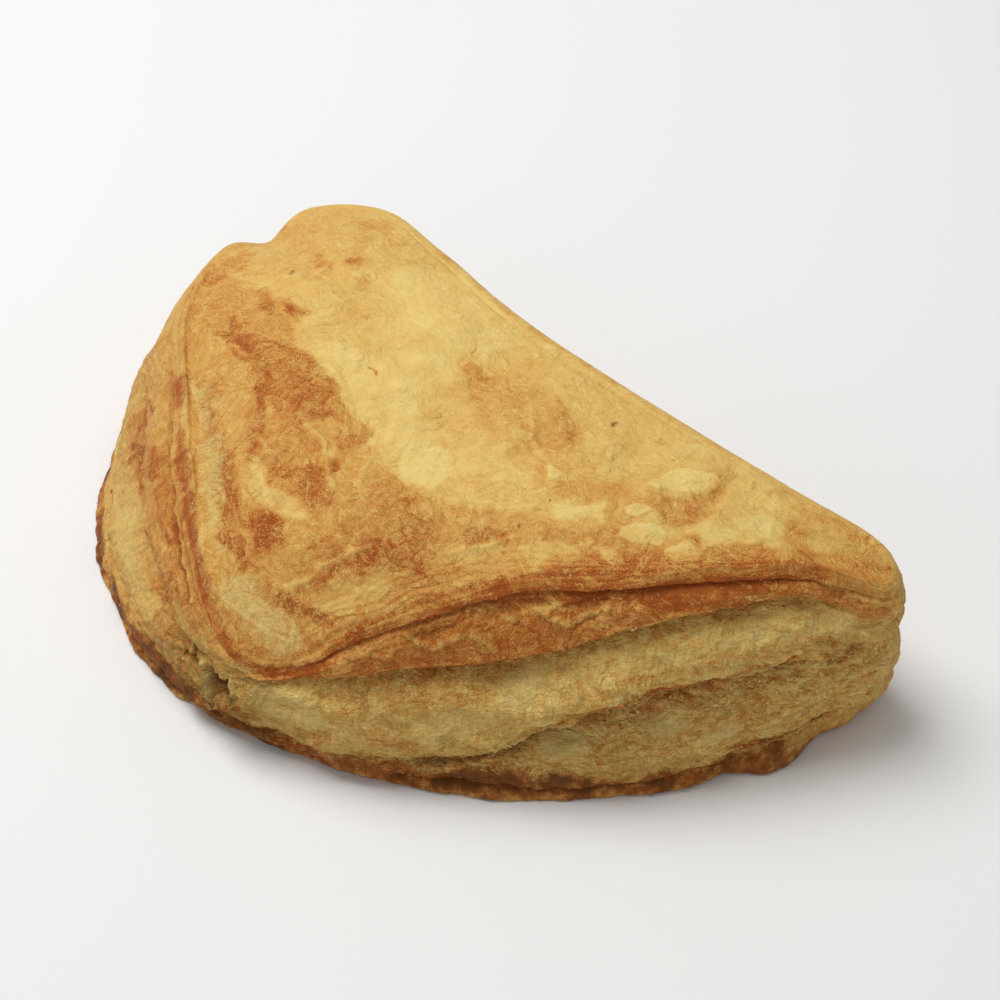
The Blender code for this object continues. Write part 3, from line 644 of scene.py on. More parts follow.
def station_at(share):
    """Turn a share of the way round, 0 to 1, into a station, with more columns along the open edges."""
    place = np.linspace(0, len(STATIONS), OUTLINE_SAMPLES)
    curve = closed_curve(STATIONS, place)
    middle = (curve[:, :2] + curve[:, 3:]) / 2
    steps = np.linalg.norm(np.diff(middle, axis=0), axis=1)
    steps *= 1 + (FRONT_CROWDING - 1) * np.interp(place[1:], *OPEN_EDGE)
    length = np.concatenate([[0], np.cumsum(steps)])
    return np.interp((share % 1) * length[-1], length, place)


def unrolled(station):
    """Give places in millimetres along the edge, which start and end in the middle of the fold."""
    return ((station - FOLD_MIDDLE) % len(STATIONS) + FOLD_MIDDLE) * STATION_WIDTH


def outward_at(station):
    """Give the level direction that points out of the pie at each station."""
    ahead = closed_curve(STATIONS, station + OUTLINE_STEP)
    behind = closed_curve(STATIONS, station - OUTLINE_STEP)
    along = (ahead - behind)[:, :2] + (ahead - behind)[:, 3:]
    along /= np.linalg.norm(along, axis=1)[:, None]
    return np.column_stack([along[:, 1], -along[:, 0], np.zeros(len(along))])


def swell(points, length):
    """Give smooth random waves of about the given length, between about -1 and 1."""
    return np.array([noise.noise(Vector(place)) for place in points / length])


def rough(points, length, octaves, seed):
    """Give random waves with finer and finer ones on them."""
    places = points / length + seed * SEED_STEP
    return np.array([noise.fractal(Vector(place), 1.0, 2.0, octaves) for place in places])


def stray(points, reach, length, octaves, seed):
    """Tell how far marks stray sideways, so that what is read there gets an uneven border."""
    return reach * np.column_stack([rough(points, length, octaves, seed + step) for step in range(2)])


def leaf_profile(station, leaf, part, ragged):
    """Tell how far out each place of the wall stands, and where on its leaf it is."""
    lips = np.array([around(station, knots) for knots, depth in LIPS])
    creases = np.array([around(station, depth) for knots, depth in LIPS])
    lips += ragged[:LEAVES - 1] * np.array(LIP_STRAY)[:, None]
    creases *= 1 + CREASE_STRAY * ragged[LEAVES - 1:]
    creases[0] *= np.interp(station, *FIRST_CREASE)
    nothing = np.zeros((1, len(station)))
    lips = np.concatenate([nothing, lips, nothing + 1])
    creases = np.concatenate([nothing, creases, nothing])
    column = np.arange(len(station))
    lip, next_lip = lips[leaf, column], lips[leaf + 1, column]
    crease, next_crease = creases[leaf, column], creases[leaf + 1, column]
    turned = unit(part / UNDERSIDE)
    face = unit((part - UNDERSIDE) / (1 - UNDERSIDE))
    drop = UNDERSIDE_DROP * turned + (1 - UNDERSIDE_DROP) * face
    puff = LEAF_PUFF[leaf] * np.minimum(LEAST_PUFF + crease / FULL_PUFF_CREASE, 1)
    out = puff * np.sin(np.pi * face) - crease * turned * (1 - face) ** CREASE_POWER
    height = (next_lip - lip) * WALL_HEIGHT
    to_lip, from_lip = (1 - drop) * height, drop * height
    curls = np.array((0, *LIP_CURL, 0))
    curl, curl_above = curls[leaf + 1], curls[leaf] * (1 - turned)
    out += curl * np.minimum(next_crease / FULL_PUFF_CREASE, MOST_CURL) * bell(to_lip, CURL_HEIGHT)
    out += curl_above * np.minimum(crease / FULL_PUFF_CREASE, MOST_CURL) * bell(from_lip, CURL_DEPTH)
    return out, {"down": lip * (1 - drop) + next_lip * drop, "face": face, "crease": crease,
                 "next_crease": next_crease, "to_lip": to_lip, "from_lip": from_lip}


def rim_reach(station, points):
    """Tell how far the base's rim stands out past its plain edge."""
    level = points * (1, 1, 0)
    lobes = around(station, RIM_LOBES) + RIM_SCALLOP * swell(level, RIM_SCALLOP_LENGTH)
    return lobes + RIM_RAGGEDNESS * rough(level, *RIM_WAVES)


def ragged_lips(station):
    """Give the random waves by which the lips stray from their places, and the creases from their depths."""
    outline = closed_curve(STATIONS, station)[:, :3] * (1, 1, 0)
    return np.array([rough(outline, *LIP_WAVES, seed) for seed in range(2 * (LEAVES - 1))])


def wall(station, leaf, part, ragged):
    """Shape the wall's leaves, and tell what is needed to colour them."""
    rails = closed_curve(STATIONS, station)
    base = np.column_stack([rails[:, 3:], np.zeros(len(rails))])
    out, on_wall = leaf_profile(station, leaf, part, ragged)
    down = on_wall["down"]
    points = rails[:, :3] * (1 - down)[:, None] + base * down[:, None]
    out += around(station, BULGE) * (4 * down * (1 - down)) ** around(station, BULGE_POWER)
    out += rim_reach(station, points) * down ** RIM_POWER
    out += WALL_WAVE * swell(points, WAVE_LENGTH) * np.sin(np.pi * down)
    smooth = PANEL_SMOOTHNESS * (leaf == 1) * np.interp(station, *PANEL)
    shown = np.sin(np.pi * unit(down)) ** 0.5 * (1 - smooth)
    levels = WALL_FLAKE_LEVELS * rough(points * WALL_FLAKE_SQUASH, *WALL_FLAKE_WAVES)
    out += WALL_FLAKE * stepped(levels) * shown * np.interp(station, *WALL_FLAKING)
    grain = FOLD_GRAIN_SHARE + (1 - FOLD_GRAIN_SHARE) * np.interp(station, *OPEN_EDGE)
    out += WALL_GRAIN * rough(points, *WALL_GRAIN_WAVES) * shown * grain
    places = np.column_stack([unrolled(station), down * WALL_HEIGHT]) + stray(points, *WALL_STRAY)
    drawn = marks(places, WALL_AREAS, within, WALL_SCALE) + marks(places, WALL_FOLDS, on_line, WALL_SCALE)
    tone, relief = drawn + marks(places, wrinkles(*WALL_WRINKLES), on_line)
    out += relief * unit(np.minimum(down, 1 - down) / RELIEF_MARGIN)
    on_wall.update(riser=riser(levels), places=places, tone=tone)
    return points + outward_at(station) * out[:, None], on_wall


def rolled_edge(station, inset):
    """Raise a ridge just inside the top's edge, with a groove behind it, inset millimetres from the edge."""
    ridge = bell(inset - ROLL_RIDGE, ROLL_RIDGE / 2)
    groove = bell(inset - ROLL_GROOVE, ROLL_GROOVE / 2)
    return around(station, ROLL) * (ridge - GROOVE_SHARE * groove)


def stroke_distance(places, start, end):
    """Measure how far each place lies from a straight stroke."""
    along = end - start
    share = unit((places - start) @ along / max(along @ along, 1e-9))
    return np.linalg.norm(places - start - share[:, None] * along, axis=1)


def painted(places, strokes, scale=(1, 1)):
    """Add up strokes that fade out sideways."""
    added = np.zeros(len(places))
    for *ends, width, amount in strokes:
        away = stroke_distance(places, *np.reshape(ends, (2, 2)) * scale) / width
        added += amount * np.exp(-away ** 4 * STROKE_FADE)
    return added


def within(places, outline, soft):
    """Tell which places lie inside an outline: 1 inside, 0 outside, and between along its soft border."""
    x, y = places.T
    inside = np.zeros(len(places), dtype=bool)
    nearest = np.full(len(places), np.inf)
    for start, end in zip(outline, np.roll(outline, -1, axis=0)):
        nearest = np.minimum(nearest, stroke_distance(places, start, end))
        if start[1] != end[1]:
            crossing = start[0] + (y - start[1]) * (end[0] - start[0]) / (end[1] - start[1])
            inside ^= ((start[1] > y) != (end[1] > y)) & (x < crossing)
    return eased(np.where(inside, nearest, -nearest) / soft + 0.5)


def on_line(places, line, width):
    """Tell how near a line the places lie: 1 on it, and 0 well beside it."""
    return bell(np.min([stroke_distance(places, *ends) for ends in zip(line, line[1:])], axis=0), width)


def marks(places, shapes, share_of, scale=(1, 1)):
    """Add up the tone and the relief of areas or folds."""
    tone, relief = added = np.zeros((2, len(places)))
    for brown, height, width, shape in shapes:
        share = share_of(places, np.array(shape) * scale, width)
        tone += brown * share
        relief += height * share
    return added


def wrinkles(count, low, high, turns, height, seed):
    """Draw faint wrinkles at random places between two corners, each a short bent line."""
    draw = np.random.default_rng(seed)
    lines = []
    for number in range(count):
        place = draw.uniform(low, high)
        turn = draw.normal(*turns)
        line = [tuple(place)]
        for step in range(WRINKLE_STEPS):
            turn += draw.normal(0, WRINKLE_BEND)
            reach = WRINKLE_LENGTH / WRINKLE_STEPS * draw.uniform(0.5, 1.4)
            place = place + reach * np.array([np.cos(turn), np.sin(turn)])
            line.append(tuple(place))
        raised, browned = height * draw.uniform(-0.6, 1), WRINKLE_TONE * draw.uniform(-1, 0.8)
        lines.append((browned, raised, WRINKLE_WIDTH, line))
    return lines


def stepped(value, width=STEP_RISER):
    """Turn a smooth rise into steps, whose risers take a share of each step's width."""
    whole = np.floor(value)
    return whole + eased((value - whole - 0.5) / width + 0.5)


def riser(value, width=STEP_RISER):
    """Tell where the steps' risers are: 1 at the middle of each, 0 between them."""
    return unit(1 - abs(value - np.floor(value) - 0.5) / width * 2)


def bubbles(places):
    """Add up the tone and the relief of small flat-topped bubbles at random places."""
    draw = np.random.default_rng(8)
    tone, relief = added = np.zeros((2, len(places)))
    for count in range(BUBBLES):
        centre = draw.uniform(*PLAN)
        radius = draw.uniform(*BUBBLE_RADII)
        turn, stretch = draw.uniform(0, np.pi), draw.uniform(0.55, 0.95)
        height, shade = draw.uniform(0.5, 1), draw.normal(-0.25, 0.8)
        offset = places - centre
        along = offset @ (np.cos(turn), np.sin(turn))
        across = offset @ (-np.sin(turn), np.cos(turn)) / stretch
        inside = unit(1 - (along ** 2 + across ** 2) / radius ** 2) ** 1.5
        tone += BUBBLE_TONE * shade * inside
        relief += BUBBLE_HEIGHT * height * inside
    return added


def crust_top(station, reach):
    """Shape the top crust, with reach running from 0 at the crown to 1 at the edge."""
    edge = closed_curve(STATIONS, station)[:, :3]
    reach = 1 - (1 - reach) ** EDGE_CROWDING
    points = CROWN + (edge - CROWN) * reach[:, None]
    points[:, 2] = CROWN[2] + (edge[:, 2] - CROWN[2]) * reach ** around(station, CROWN_POWER)
    places = points[:, :2] + stray(points, *FOLD_STRAY)
    drawn = bubbles(places) + marks(places, [*FOLDS, *wrinkles(*TOP_WRINKLES)], on_line)
    tone, relief = drawn + marks(points[:, :2] + stray(points, *AREA_STRAY), TOP_AREAS, within)
    relief += TOP_WAVE * swell(points, WAVE_LENGTH)
    for x, y, radius, height in BLISTERS:
        relief += height * bell(np.hypot(points[:, 0] - x, points[:, 1] - y), radius)
    relief += TOP_PEBBLE * rough(points, *TOP_PEBBLE_WAVES) + TOP_GRAIN * rough(points, *TOP_GRAIN_WAVES)
    levels = TOP_FLAKE_LEVELS * rough(points, *TOP_FLAKE_WAVES)
    relief += TOP_FLAKE * stepped(levels)
    inset = np.linalg.norm((edge - CROWN)[:, :2], axis=1) * (1 - reach)
    broken = 1 + ROLL_RAGGEDNESS * rough(points, *ROLL_WAVES)
    layer = (inset + TERRACE_STRAY * rough(points, *TERRACE_WAVES)) / TERRACE_WIDTH
    near = np.exp(-(inset / TERRACE_REACH) ** 4) * np.minimum(inset, 1) * np.interp(station, *TERRACES)
    strip = unit((STRIP + STRIP_STRAY * (broken - 1) - inset) / STRIP_SLOPE) * np.interp(station, *LEFT_EDGE)
    relief *= 1 - reach ** EDGE_POWER
    relief += rolled_edge(station, inset) * broken + TERRACE * (stepped(layer, TERRACE_RISER) - layer) * near
    relief += STRIP_HEIGHT * strip * np.minimum(inset / STRIP_SLOPE, 1) * np.clip(broken, *STRIP_RAGGEDNESS)
    points[:, 2] += relief
    return points, {"inset": inset, "tone": tone, "riser": riser(levels),
                    "terrace": riser(layer, 0.5) * near, "strip": strip}


def ring_share(x, y):
    """Tell how far round its square ring a point lies, from 0 to 1."""
    reach = np.maximum(np.maximum(abs(x), abs(y)), 1e-9)
    x, y = x / reach, y / reach
    on_side = (x > 1 - 1e-5, y > 1 - 1e-5, x < 1e-5 - 1)
    return np.select(on_side, (1 + y, 3 - x, 5 - y), 7 + x) / 8


def square_ring():
    """List the columns of the wall as points on the border of a square, counterclockwise."""
    step = np.linspace(-1, 1, ACROSS + 1)[:-1]
    one = np.ones(ACROSS)
    sides = ((one, step), (-step, one), (-one, -step), (step, -one))
    return np.concatenate([np.column_stack(side) for side in sides])


def top_grid():
    """Give the inner points of the square grid, and its faces, where border points come after them."""
    count = ACROSS + 1
    x, y = np.meshgrid(np.linspace(-1, 1, count), np.linspace(-1, 1, count))
    number = np.full((count, count), -1)
    inner = np.zeros((count, count), dtype=bool)
    inner[1:-1, 1:-1] = True
    number[inner] = np.arange(inner.sum())
    border = square_ring()
    column, row = np.rint((border.T + 1) * ACROSS / 2).astype(int)
    number[row, column] = inner.sum() + np.arange(len(border))
    faces = np.stack([number[:-1, :-1], number[:-1, 1:], number[1:, 1:], number[1:, :-1]], axis=-1)
    return np.column_stack([x[inner], y[inner]]), faces.reshape(-1, 4)


def row_parts(leaf):
    """Space out the rows of one leaf: a few on its underside, the rest on its face."""
    under, rows = UNDERSIDE_ROWS[leaf], LEAF_ROWS[leaf]
    turned = np.linspace(0, UNDERSIDE, under + 1)[1:]
    even = np.linspace(0, 1, rows - under + 1)[1:]
    crowded = (1 - np.cos(np.pi * even)) / 2
    return np.concatenate([turned, UNDERSIDE + (1 - UNDERSIDE) * (crowded + even) / 2])


def shape_pie():
    """Work out all the points and faces of the pie, with the values that colour it."""
    inner, top_faces = top_grid()
    border = square_ring()
    station = station_at(ring_share(*border.T))
    columns = len(border)
    top_station = station_at(ring_share(*inner.T))
    top_points, on_top = crust_top(top_station, np.max(abs(inner), axis=1))

    parts = [(0, 0.0)] + [(leaf, part) for leaf in range(LEAVES) for part in row_parts(leaf)]
    leaf, part = (np.repeat(numbers, columns) for numbers in zip(*parts))
    wall_station = np.tile(station, len(parts))
    wall_points, on_wall = wall(wall_station, leaf, part, np.tile(ragged_lips(station), (1, len(parts))))

    lowest = wall_points[-columns:]
    middle = CROWN * (1, 1, 0)
    rings = [middle + (lowest - middle) * ring for ring in BASE_RINGS]
    points = np.concatenate([top_points, wall_points, *rings, middle[None]])

    first = len(inner)
    column = np.arange(columns)
    row = first + columns * np.arange(len(parts) - 1 + len(BASE_RINGS))[:, None]
    a, b = row + column, row + (column + 1) % columns
    wall_faces = np.stack([b, a, a + columns, b + columns], axis=-1).reshape(-1, 4)
    last = len(points) - 1
    even = column[::2]
    ring = last - columns
    closing = np.stack([ring + (even + 2) % columns, ring + even + 1, ring + even, 0 * even + last], axis=-1)
    faces = np.concatenate([top_faces, wall_faces, closing])

    paints = (paint_top(top_points, top_station, on_top),
              paint_wall(wall_points, wall_station, leaf, on_wall), BASE_PAINT)
    counts = (first, len(wall_points), len(points) - first - len(wall_points))
    values = {}
    for name in VALUES:
        each = [np.full(count, paint.get(name, 0.0)) for count, paint in zip(counts, paints)]
        values[name] = np.concatenate(each)
    return points, faces, values, len(top_faces), first


def paint_top(points, station, on_top):
    """Brown the top crust in areas and strokes, and more along its edge."""
    fine = stray(points, *FINE_STRAY)
    places = points[:, :2] + stray(points, *STROKE_STRAY) + fine
    inset, strip = on_top["inset"], on_top["strip"]
    open_edge, left_edge = np.interp(station, *OPEN_EDGE), np.interp(station, *LEFT_EDGE)
    broken = rough(points, *TOP_TONE_WAVES)
    toast = TOP_TOAST + painted(places, TOP_STROKES) + on_top["tone"] + TOP_RISER_BROWNING * on_top["riser"]
    toast = toast * (1 - strip) + (STRIP_TOAST + STRIP_SPECKLE * broken) * strip
    toast += painted(np.column_stack([unrolled(station), -inset]) + fine, EDGE_MARKS, (STATION_WIDTH, 1))
    fading, width, varying = TOP_LIP
    front_edge = open_edge * (1 - left_edge)
    lip = unit(fading - inset / (width + varying * broken)) * front_edge
    middle, width = TOP_BAND
    toast += TOP_LIP_BROWNING * lip + TOP_BAND_BROWNING * bell(inset - middle, width) * front_edge
    toast += TERRACE_BROWNING * on_top["terrace"] * open_edge
    cream = unit(painted(places, CREAM_STROKES) - lip - strip)
    layered = LAYERED[0] * open_edge * bell(inset, TOP_LAYERED)
    flaky = PLAIN_FLAKINESS + TOAST_FLAKINESS * unit(toast - FLAKY_TOAST) + CREAM_FLAKINESS * cream
    specks = sum(unit(SPECK_EDGE - np.hypot(*(places - (x, y)).T) / radius) for x, y, radius in TOP_SPECKS)
    layered -= CREAM_FIBRES * cream * left_edge
    return {"toast": toast, "cream": cream, "dark": specks, "layers": layered, "flaky": flaky,
            "along": unrolled(station), "across": -inset, "run": TOP_RUN * points[:, 0], "side": points[:, 1]}


def paint_wall(points, station, leaf, on_wall):
    """Colour the wall: red-brown lips, pale bellies and a brown rim, with painted shade in the creases, at
    the foot and in the corner.
    """
    down, to_lip, places = on_wall["down"], on_wall["to_lip"], on_wall["places"]
    open_edge, left_edge = np.interp(station, *OPEN_EDGE), np.interp(station, *LEFT_EDGE)
    broken, speckled = rough(points, *WALL_TONE_WAVES), rough(points, *RIM_TONE_WAVES)
    rim = unit((down - around(station, RIM_TOP) + RIM_BLUR * broken) / RIM_BLUR)
    lipped = np.minimum(on_wall["next_crease"] / FULL_LIP_CREASE, 1) * open_edge
    lip = bell(to_lip, LIP_WIDTH) * lipped
    # Painted shade: each crease is browner and darker just under the lip above it
    creased = np.minimum(on_wall["crease"] / FULL_LIP_CREASE, 1) * (leaf > 0)
    creased *= (1 - on_wall["face"]) ** CREASE_FADING

    leaf_toast = (FIRST_LEAF_TOAST + OPEN_EDGE_BROWNING * open_edge, around(station, PANEL_TOAST),
                  THIRD_LEAF_TOAST + OPEN_EDGE_BROWNING * left_edge, LOW_LEAF_TOAST, LOW_LEAF_TOAST)
    fold_toast = FOLD_TOAST + FOLD_BROWNING * np.minimum(2 * down, 1) + FOLD_SPECKLE * broken
    toast = np.choose(leaf, leaf_toast) * open_edge + fold_toast * (1 - open_edge)
    on_edge = np.column_stack([unrolled(station), down * WALL_HEIGHT]) + stray(points, *FINE_STRAY)
    toast += painted(on_edge, EDGE_MARKS, (STATION_WIDTH, 1)) + painted(places, WALL_STROKES, WALL_SCALE)
    toast += on_wall["tone"] + WALL_RISER_BROWNING * on_wall["riser"] + PAINTED_CREASE_SHADE_TOAST * creased
    toast += lip * (LIP_BROWNING + LIP_SPECKLE * broken) * np.where(leaf == 1, PANEL_LIP_SHARE, 1)
    toast += (RIM_BROWNING + np.dot(RIM_SPECKLE, (broken, speckled))) * rim

    flaky = LEAF_FLAKINESS[leaf] * (1 - LEFT_SMOOTHNESS * left_edge)
    flaky = flaky * open_edge + PLAIN_FLAKINESS * (1 - open_edge)
    cream = painted(places, WALL_CREAM, WALL_SCALE) + FLAKY_CREAM * (flaky > 0.5)
    cream += LIP_CREAM * bell(to_lip, LIP_CREAM_WIDTH) * lipped * (leaf > 1)

    (foot, foot_blur), (corner, corner_blur) = FOOT, CORNER
    dark = PAINTED_CREASE_SHADE * creased + painted(places, WALL_DARK_AND_SHADE, WALL_SCALE)
    dark += (RIM_DARKNESS + np.dot(RIM_DARK_SPECKLE, (broken, speckled))) * rim
    # Painted shade: the front wall darkens towards its foot, where less light reaches it
    dark += PAINTED_FOOT_SHADE * unit((down - foot) / foot_blur) * np.interp(station, *FOOT_SHADE) * (1 - rim)
    # Painted shade: the wall at the low left corner is darker, where it lies in shade
    dark += PAINTED_CORNER_SHADE * unit((down - corner) / corner_blur) * np.interp(station, *CORNER_SHADE)

    near_top, on_lip, elsewhere = LAYERED
    layered = near_top * bell(down, LAYERED_TOP) + on_lip * lip + elsewhere
    belly = (leaf > 1) * unit(np.minimum(to_lip, on_wall["from_lip"]) / BELLY_MARGIN)
    shed = BELLY_SHEDDING * belly + bell(to_lip, LIP_SHED_WIDTH) * np.minimum(lipped + 0.2, 1)
    return {"toast": toast, "cream": unit(cream) * (1 - rim), "dark": unit(dark),
            "layers": open_edge * layered, "flaky": flaky * (1 - RIM_SMOOTHNESS * rim),
            "along": unrolled(station), "across": down * WALL_HEIGHT, "run": points[:, 0],
            "beside": points[:, 1], "side": down * WALL_HEIGHT, "shed": open_edge * shed}


def add_node(tree, kind, inputs=None, **settings):
    """Add a shader node, set its values and link its inputs."""
    node = tree.nodes.new(kind)
    for name, value in settings.items():
        setattr(node, name, value)
    for name, value in (inputs or {}).items():
        if isinstance(value, bpy.types.NodeSocket):
            tree.links.new(value, node.inputs[name])
        else:
            node.inputs[name].default_value = value
    return node


def math_node(tree, operation, *values, clamp=False):
    """Add a math node and give its result."""
    inputs = dict(enumerate(values))
    return add_node(tree, "ShaderNodeMath", inputs, operation=operation, use_clamp=clamp).outputs[0]


def times(tree, first, second, add=0.0, clamp=False):
    """Multiply two values, and add a third."""
    return math_node(tree, "MULTIPLY_ADD", first, second, add, clamp=clamp)


def total(tree, start, waves, amounts):
    """Add up waves, each times its amount."""
    for name, amount in amounts.items():
        start = times(tree, waves[name], amount, start)
    return start


def cut(tree, wave, name):
    """Cut a pattern out of its wave."""
    return times(tree, wave, *CUTS[name], clamp=True)


def mixed(tree, share, first, second):
    """Mix two colours and give the result."""
    return add_node(tree, "ShaderNodeMix", {0: share, 6: first, 7: second}, data_type="RGBA").outputs[2]


def attribute(tree, name):
    """Read one of the pie's own values."""
    return add_node(tree, "ShaderNodeAttribute", attribute_name=name).outputs["Fac"]


def noise_node(tree, place, length, detail=3.0, roughness=0.5, distortion=0.0):
    """Read random waves of a length in millimetres, around 0."""
    inputs = {"Vector": place, "Scale": 1 / (length * MM), "Detail": detail, "Roughness": roughness,
              "Distortion": distortion}
    wave = add_node(tree, "ShaderNodeTexNoise", inputs)
    return math_node(tree, "SUBTRACT", wave.outputs["Fac"], 0.5)


def stretched_noise(tree, along, across, beside, length, width, distortion):
    """Read random streaks that run along the lips, or across them where width is more than length."""
    place = {"X": (along, length), "Y": (across, width), "Z": (beside, length)}
    place = {axis: math_node(tree, "DIVIDE", *parts) for axis, parts in place.items()}
    place = add_node(tree, "ShaderNodeCombineXYZ", place).outputs["Vector"]
    inputs = {"Vector": place, "Scale": 1.0, "Detail": 2.5, "Roughness": 0.6, "Distortion": distortion}
    wave = add_node(tree, "ShaderNodeTexNoise", inputs)
    return math_node(tree, "SUBTRACT", wave.outputs["Fac"], 0.5)


def ramp(tree, value, stops):
    """Turn a value into a colour."""
    node = add_node(tree, "ShaderNodeValToRGB", {"Fac": value})
    elements = node.color_ramp.elements
    while len(elements) < len(stops):
        elements.new(0.5)
    for element, (place, colour) in zip(elements, stops):
        element.position = place
        element.color = (*colour, 1)
    return node.outputs["Color"]


def flowing(tree, place):
    """Bend places by slow random waves, so that what is read there flows."""
    inputs = {"Vector": place, "Scale": 1 / (FLOW_LENGTH * MM), "Detail": 2.0}
    wave = add_node(tree, "ShaderNodeTexNoise", inputs)
    inputs = {0: wave.outputs["Color"], 1: [FLOW_REACH] * 3, 2: place}
    return add_node(tree, "ShaderNodeVectorMath", inputs, operation="MULTIPLY_ADD").outputs[0]


def overlapping_skins(tree, place):
    """Lay thin skins over each other: each fades away from its crisp edge."""
    wave = math_node(tree, "MULTIPLY", noise_node(tree, place, *SKINS), SKIN_LEVELS)
    return math_node(tree, "SUBTRACT", 0.5, math_node(tree, "FRACT", wave))


def islands(tree, place, size):
    """Tell where small round islands lie, and where their rims are."""
    cell = add_node(tree, "ShaderNodeTexVoronoi", {"Vector": place, "Scale": 1 / (size * MM)})
    radius = add_node(tree, "ShaderNodeSeparateColor", {"Color": cell.outputs["Color"]}).outputs["Red"]
    radius = times(tree, math_node(tree, "POWER", radius, ISLAND_POWER), *ISLAND_RADIUS)
    depth = math_node(tree, "SUBTRACT", radius, cell.outputs["Distance"])
    return cut(tree, depth, "island"), cut(tree, math_node(tree, "ABSOLUTE", depth), "rim")


def wrinkle_lines(tree, place, flaky):
    """Tell where thin pale wrinkles run, in drifts, most of all on the flaky leaves."""
    lines = cut(tree, math_node(tree, "ABSOLUTE", noise_node(tree, place, *LINES)), "line")
    drift = cut(tree, noise_node(tree, place, *LINE_DRIFTS), "drift")
    return math_node(tree, "MULTIPLY", lines, math_node(tree, "MULTIPLY", drift, flaky))


def flake_and_glint_share(tree, place, on_crust, flaky):
    """Tell where small pale flakes lie, in drifts; they also stand in as painted glints of flakes that catch
    the light.
    """
    wave = stretched_noise(tree, *on_crust, *SMALL_FLAKES)
    share = cut(tree, times(tree, noise_node(tree, place, *FLAKE_DRIFTS), DRIFTING_SHARE, wave), "flake")
    return math_node(tree, "MULTIPLY", share, math_node(tree, "MULTIPLY", flaky, FLAKE_SHARE))


def crust_waves(tree, place):
    """Read all that colours and raises the crust: its stored values, and random waves in several kinds."""
    stored = {name: attribute(tree, name) for name in VALUES if name != "shed"}
    flow = flowing(tree, place)
    plan = add_node(tree, "ShaderNodeSeparateXYZ", {"Vector": place})
    plan_x, plan_y = (math_node(tree, "DIVIDE", plan.outputs[axis], MM) for axis in ("X", "Y"))
    on_crust = stored["run"], stored["side"], stored["beside"]
    layered, crossed = (math_node(tree, "MAXIMUM", value, 0.0) for value in (
        stored["layers"], math_node(tree, "MULTIPLY", stored["layers"], -1.0)))
    shown = {
        "crumple": (stretched_noise(tree, *on_crust, *CRUMPLE), stored["flaky"]),
        "layers": (stretched_noise(tree, plan_x, stored["across"], plan_y, *LAYERS), layered),
        "fibres": (stretched_noise(tree, stored["along"], stored["across"], 0.0, *FIBRES), crossed),
    }
    waves = {name: math_node(tree, "MULTIPLY", *parts) for name, parts in shown.items()}
    waves["streaks"] = stretched_noise(tree, *on_crust, *STREAKS)
    waves.update({name: noise_node(tree, flow, *wave) for name, wave in FLOWING_WAVES.items()})
    waves.update({name: noise_node(tree, place, *wave) for name, wave in FIXED_WAVES.items()})
    waves["skins"] = overlapping_skins(tree, flow)
    for name, (rims, size) in ISLANDS.items():
        waves[name], waves[rims] = islands(tree, flow, size)
    waves["lines"] = wrinkle_lines(tree, flow, stored["flaky"])
    # Small pale flakes, partly painted glints
    waves["flakes"] = flake_and_glint_share(tree, place, on_crust, stored["flaky"])
    return stored, waves


def pastry_material():
    """Baked puff pastry: overlapping skins, streaks, islands, thin layers, pale flakes with painted glints,
    and painted shade in the creases.
    """
    material = bpy.data.materials.new("pastry")
    material.use_nodes = True
    tree = material.node_tree
    shader = tree.nodes["Principled BSDF"]
    place = add_node(tree, "ShaderNodeTexCoord").outputs["Object"]
    stored, waves = crust_waves(tree, place)

    speckle = total(tree, 0.0, waves, SPECKLES)
    contrast = total(tree, LEAST_CONTRAST, stored, CONTRAST)
    toast = total(tree, times(tree, speckle, contrast, stored["toast"]), waves, BROWNING)
    cream = cut(tree, total(tree, stored["cream"], waves, CREAMING), "cream")
    cream = math_node(tree, "MULTIPLY", cream, CREAM_SHARE)
    # Darkening from burnt edges and dark specks, and from painted shade in creases, hollows, the foot and the
    # left corner
    dark = times(tree, waves["mottling"], DARK_MOTTLING, stored["dark"])
    dark = math_node(tree, "MULTIPLY", dark, math_node(tree, "GREATER_THAN", stored["dark"], 0.01))
    dark = math_node(tree, "MULTIPLY", dark, DARK_SHARE, clamp=True)

    colour = ramp(tree, toast, CRUST_COLOURS)
    for share, other in ((cream, CREAM_COLOUR), (waves["flakes"], FLAKE_AND_GLINT_COLOUR), (dark, DARK_AND_SHADE_COLOUR)):
        colour = mixed(tree, share, colour, other)
    tree.links.new(colour, shader.inputs["Base Color"])
    roughness = total(tree, times(tree, toast, TOAST_GLOSS, PLAIN_ROUGHNESS), waves, MOTTLED_ROUGHNESS)
    tree.links.new(roughness, shader.inputs["Roughness"])
    bump = add_node(tree, "ShaderNodeBump", {"Height": total(tree, 0.0, waves, HEIGHTS), **BUMP})
    tree.links.new(bump.outputs["Normal"], shader.inputs["Normal"])
    shader.inputs["Specular IOR Level"].default_value = SPECULAR
    return material


def flake(draw):
    """Shape one thin, bent flake around the origin: a ragged ring round a middle, above and below."""
    turn = np.linspace(0, 2 * np.pi, FLAKE_CORNERS, endpoint=False) + draw.uniform(-0.3, 0.3, FLAKE_CORNERS)
    length = draw.lognormal(np.log(FLAKE_LENGTH / 2), 0.4)
    width = length * draw.uniform(0.3, 0.7)
    reach = draw.uniform(0.7, 1.2, FLAKE_CORNERS)
    ring = np.column_stack([np.cos(turn) * length * reach, np.sin(turn) * width * reach])
    flat = np.concatenate([[(0, 0)], ring])
    bend = draw.uniform(-0.1, 0.5) * flat[:, 1] ** 2 / width
    bend += draw.uniform(-0.1, 0.3) * flat[:, 0] ** 2 / length
    return np.concatenate([np.column_stack([flat, bend + side * FLAKE_THICKNESS / 2]) for side in (1, -1)])


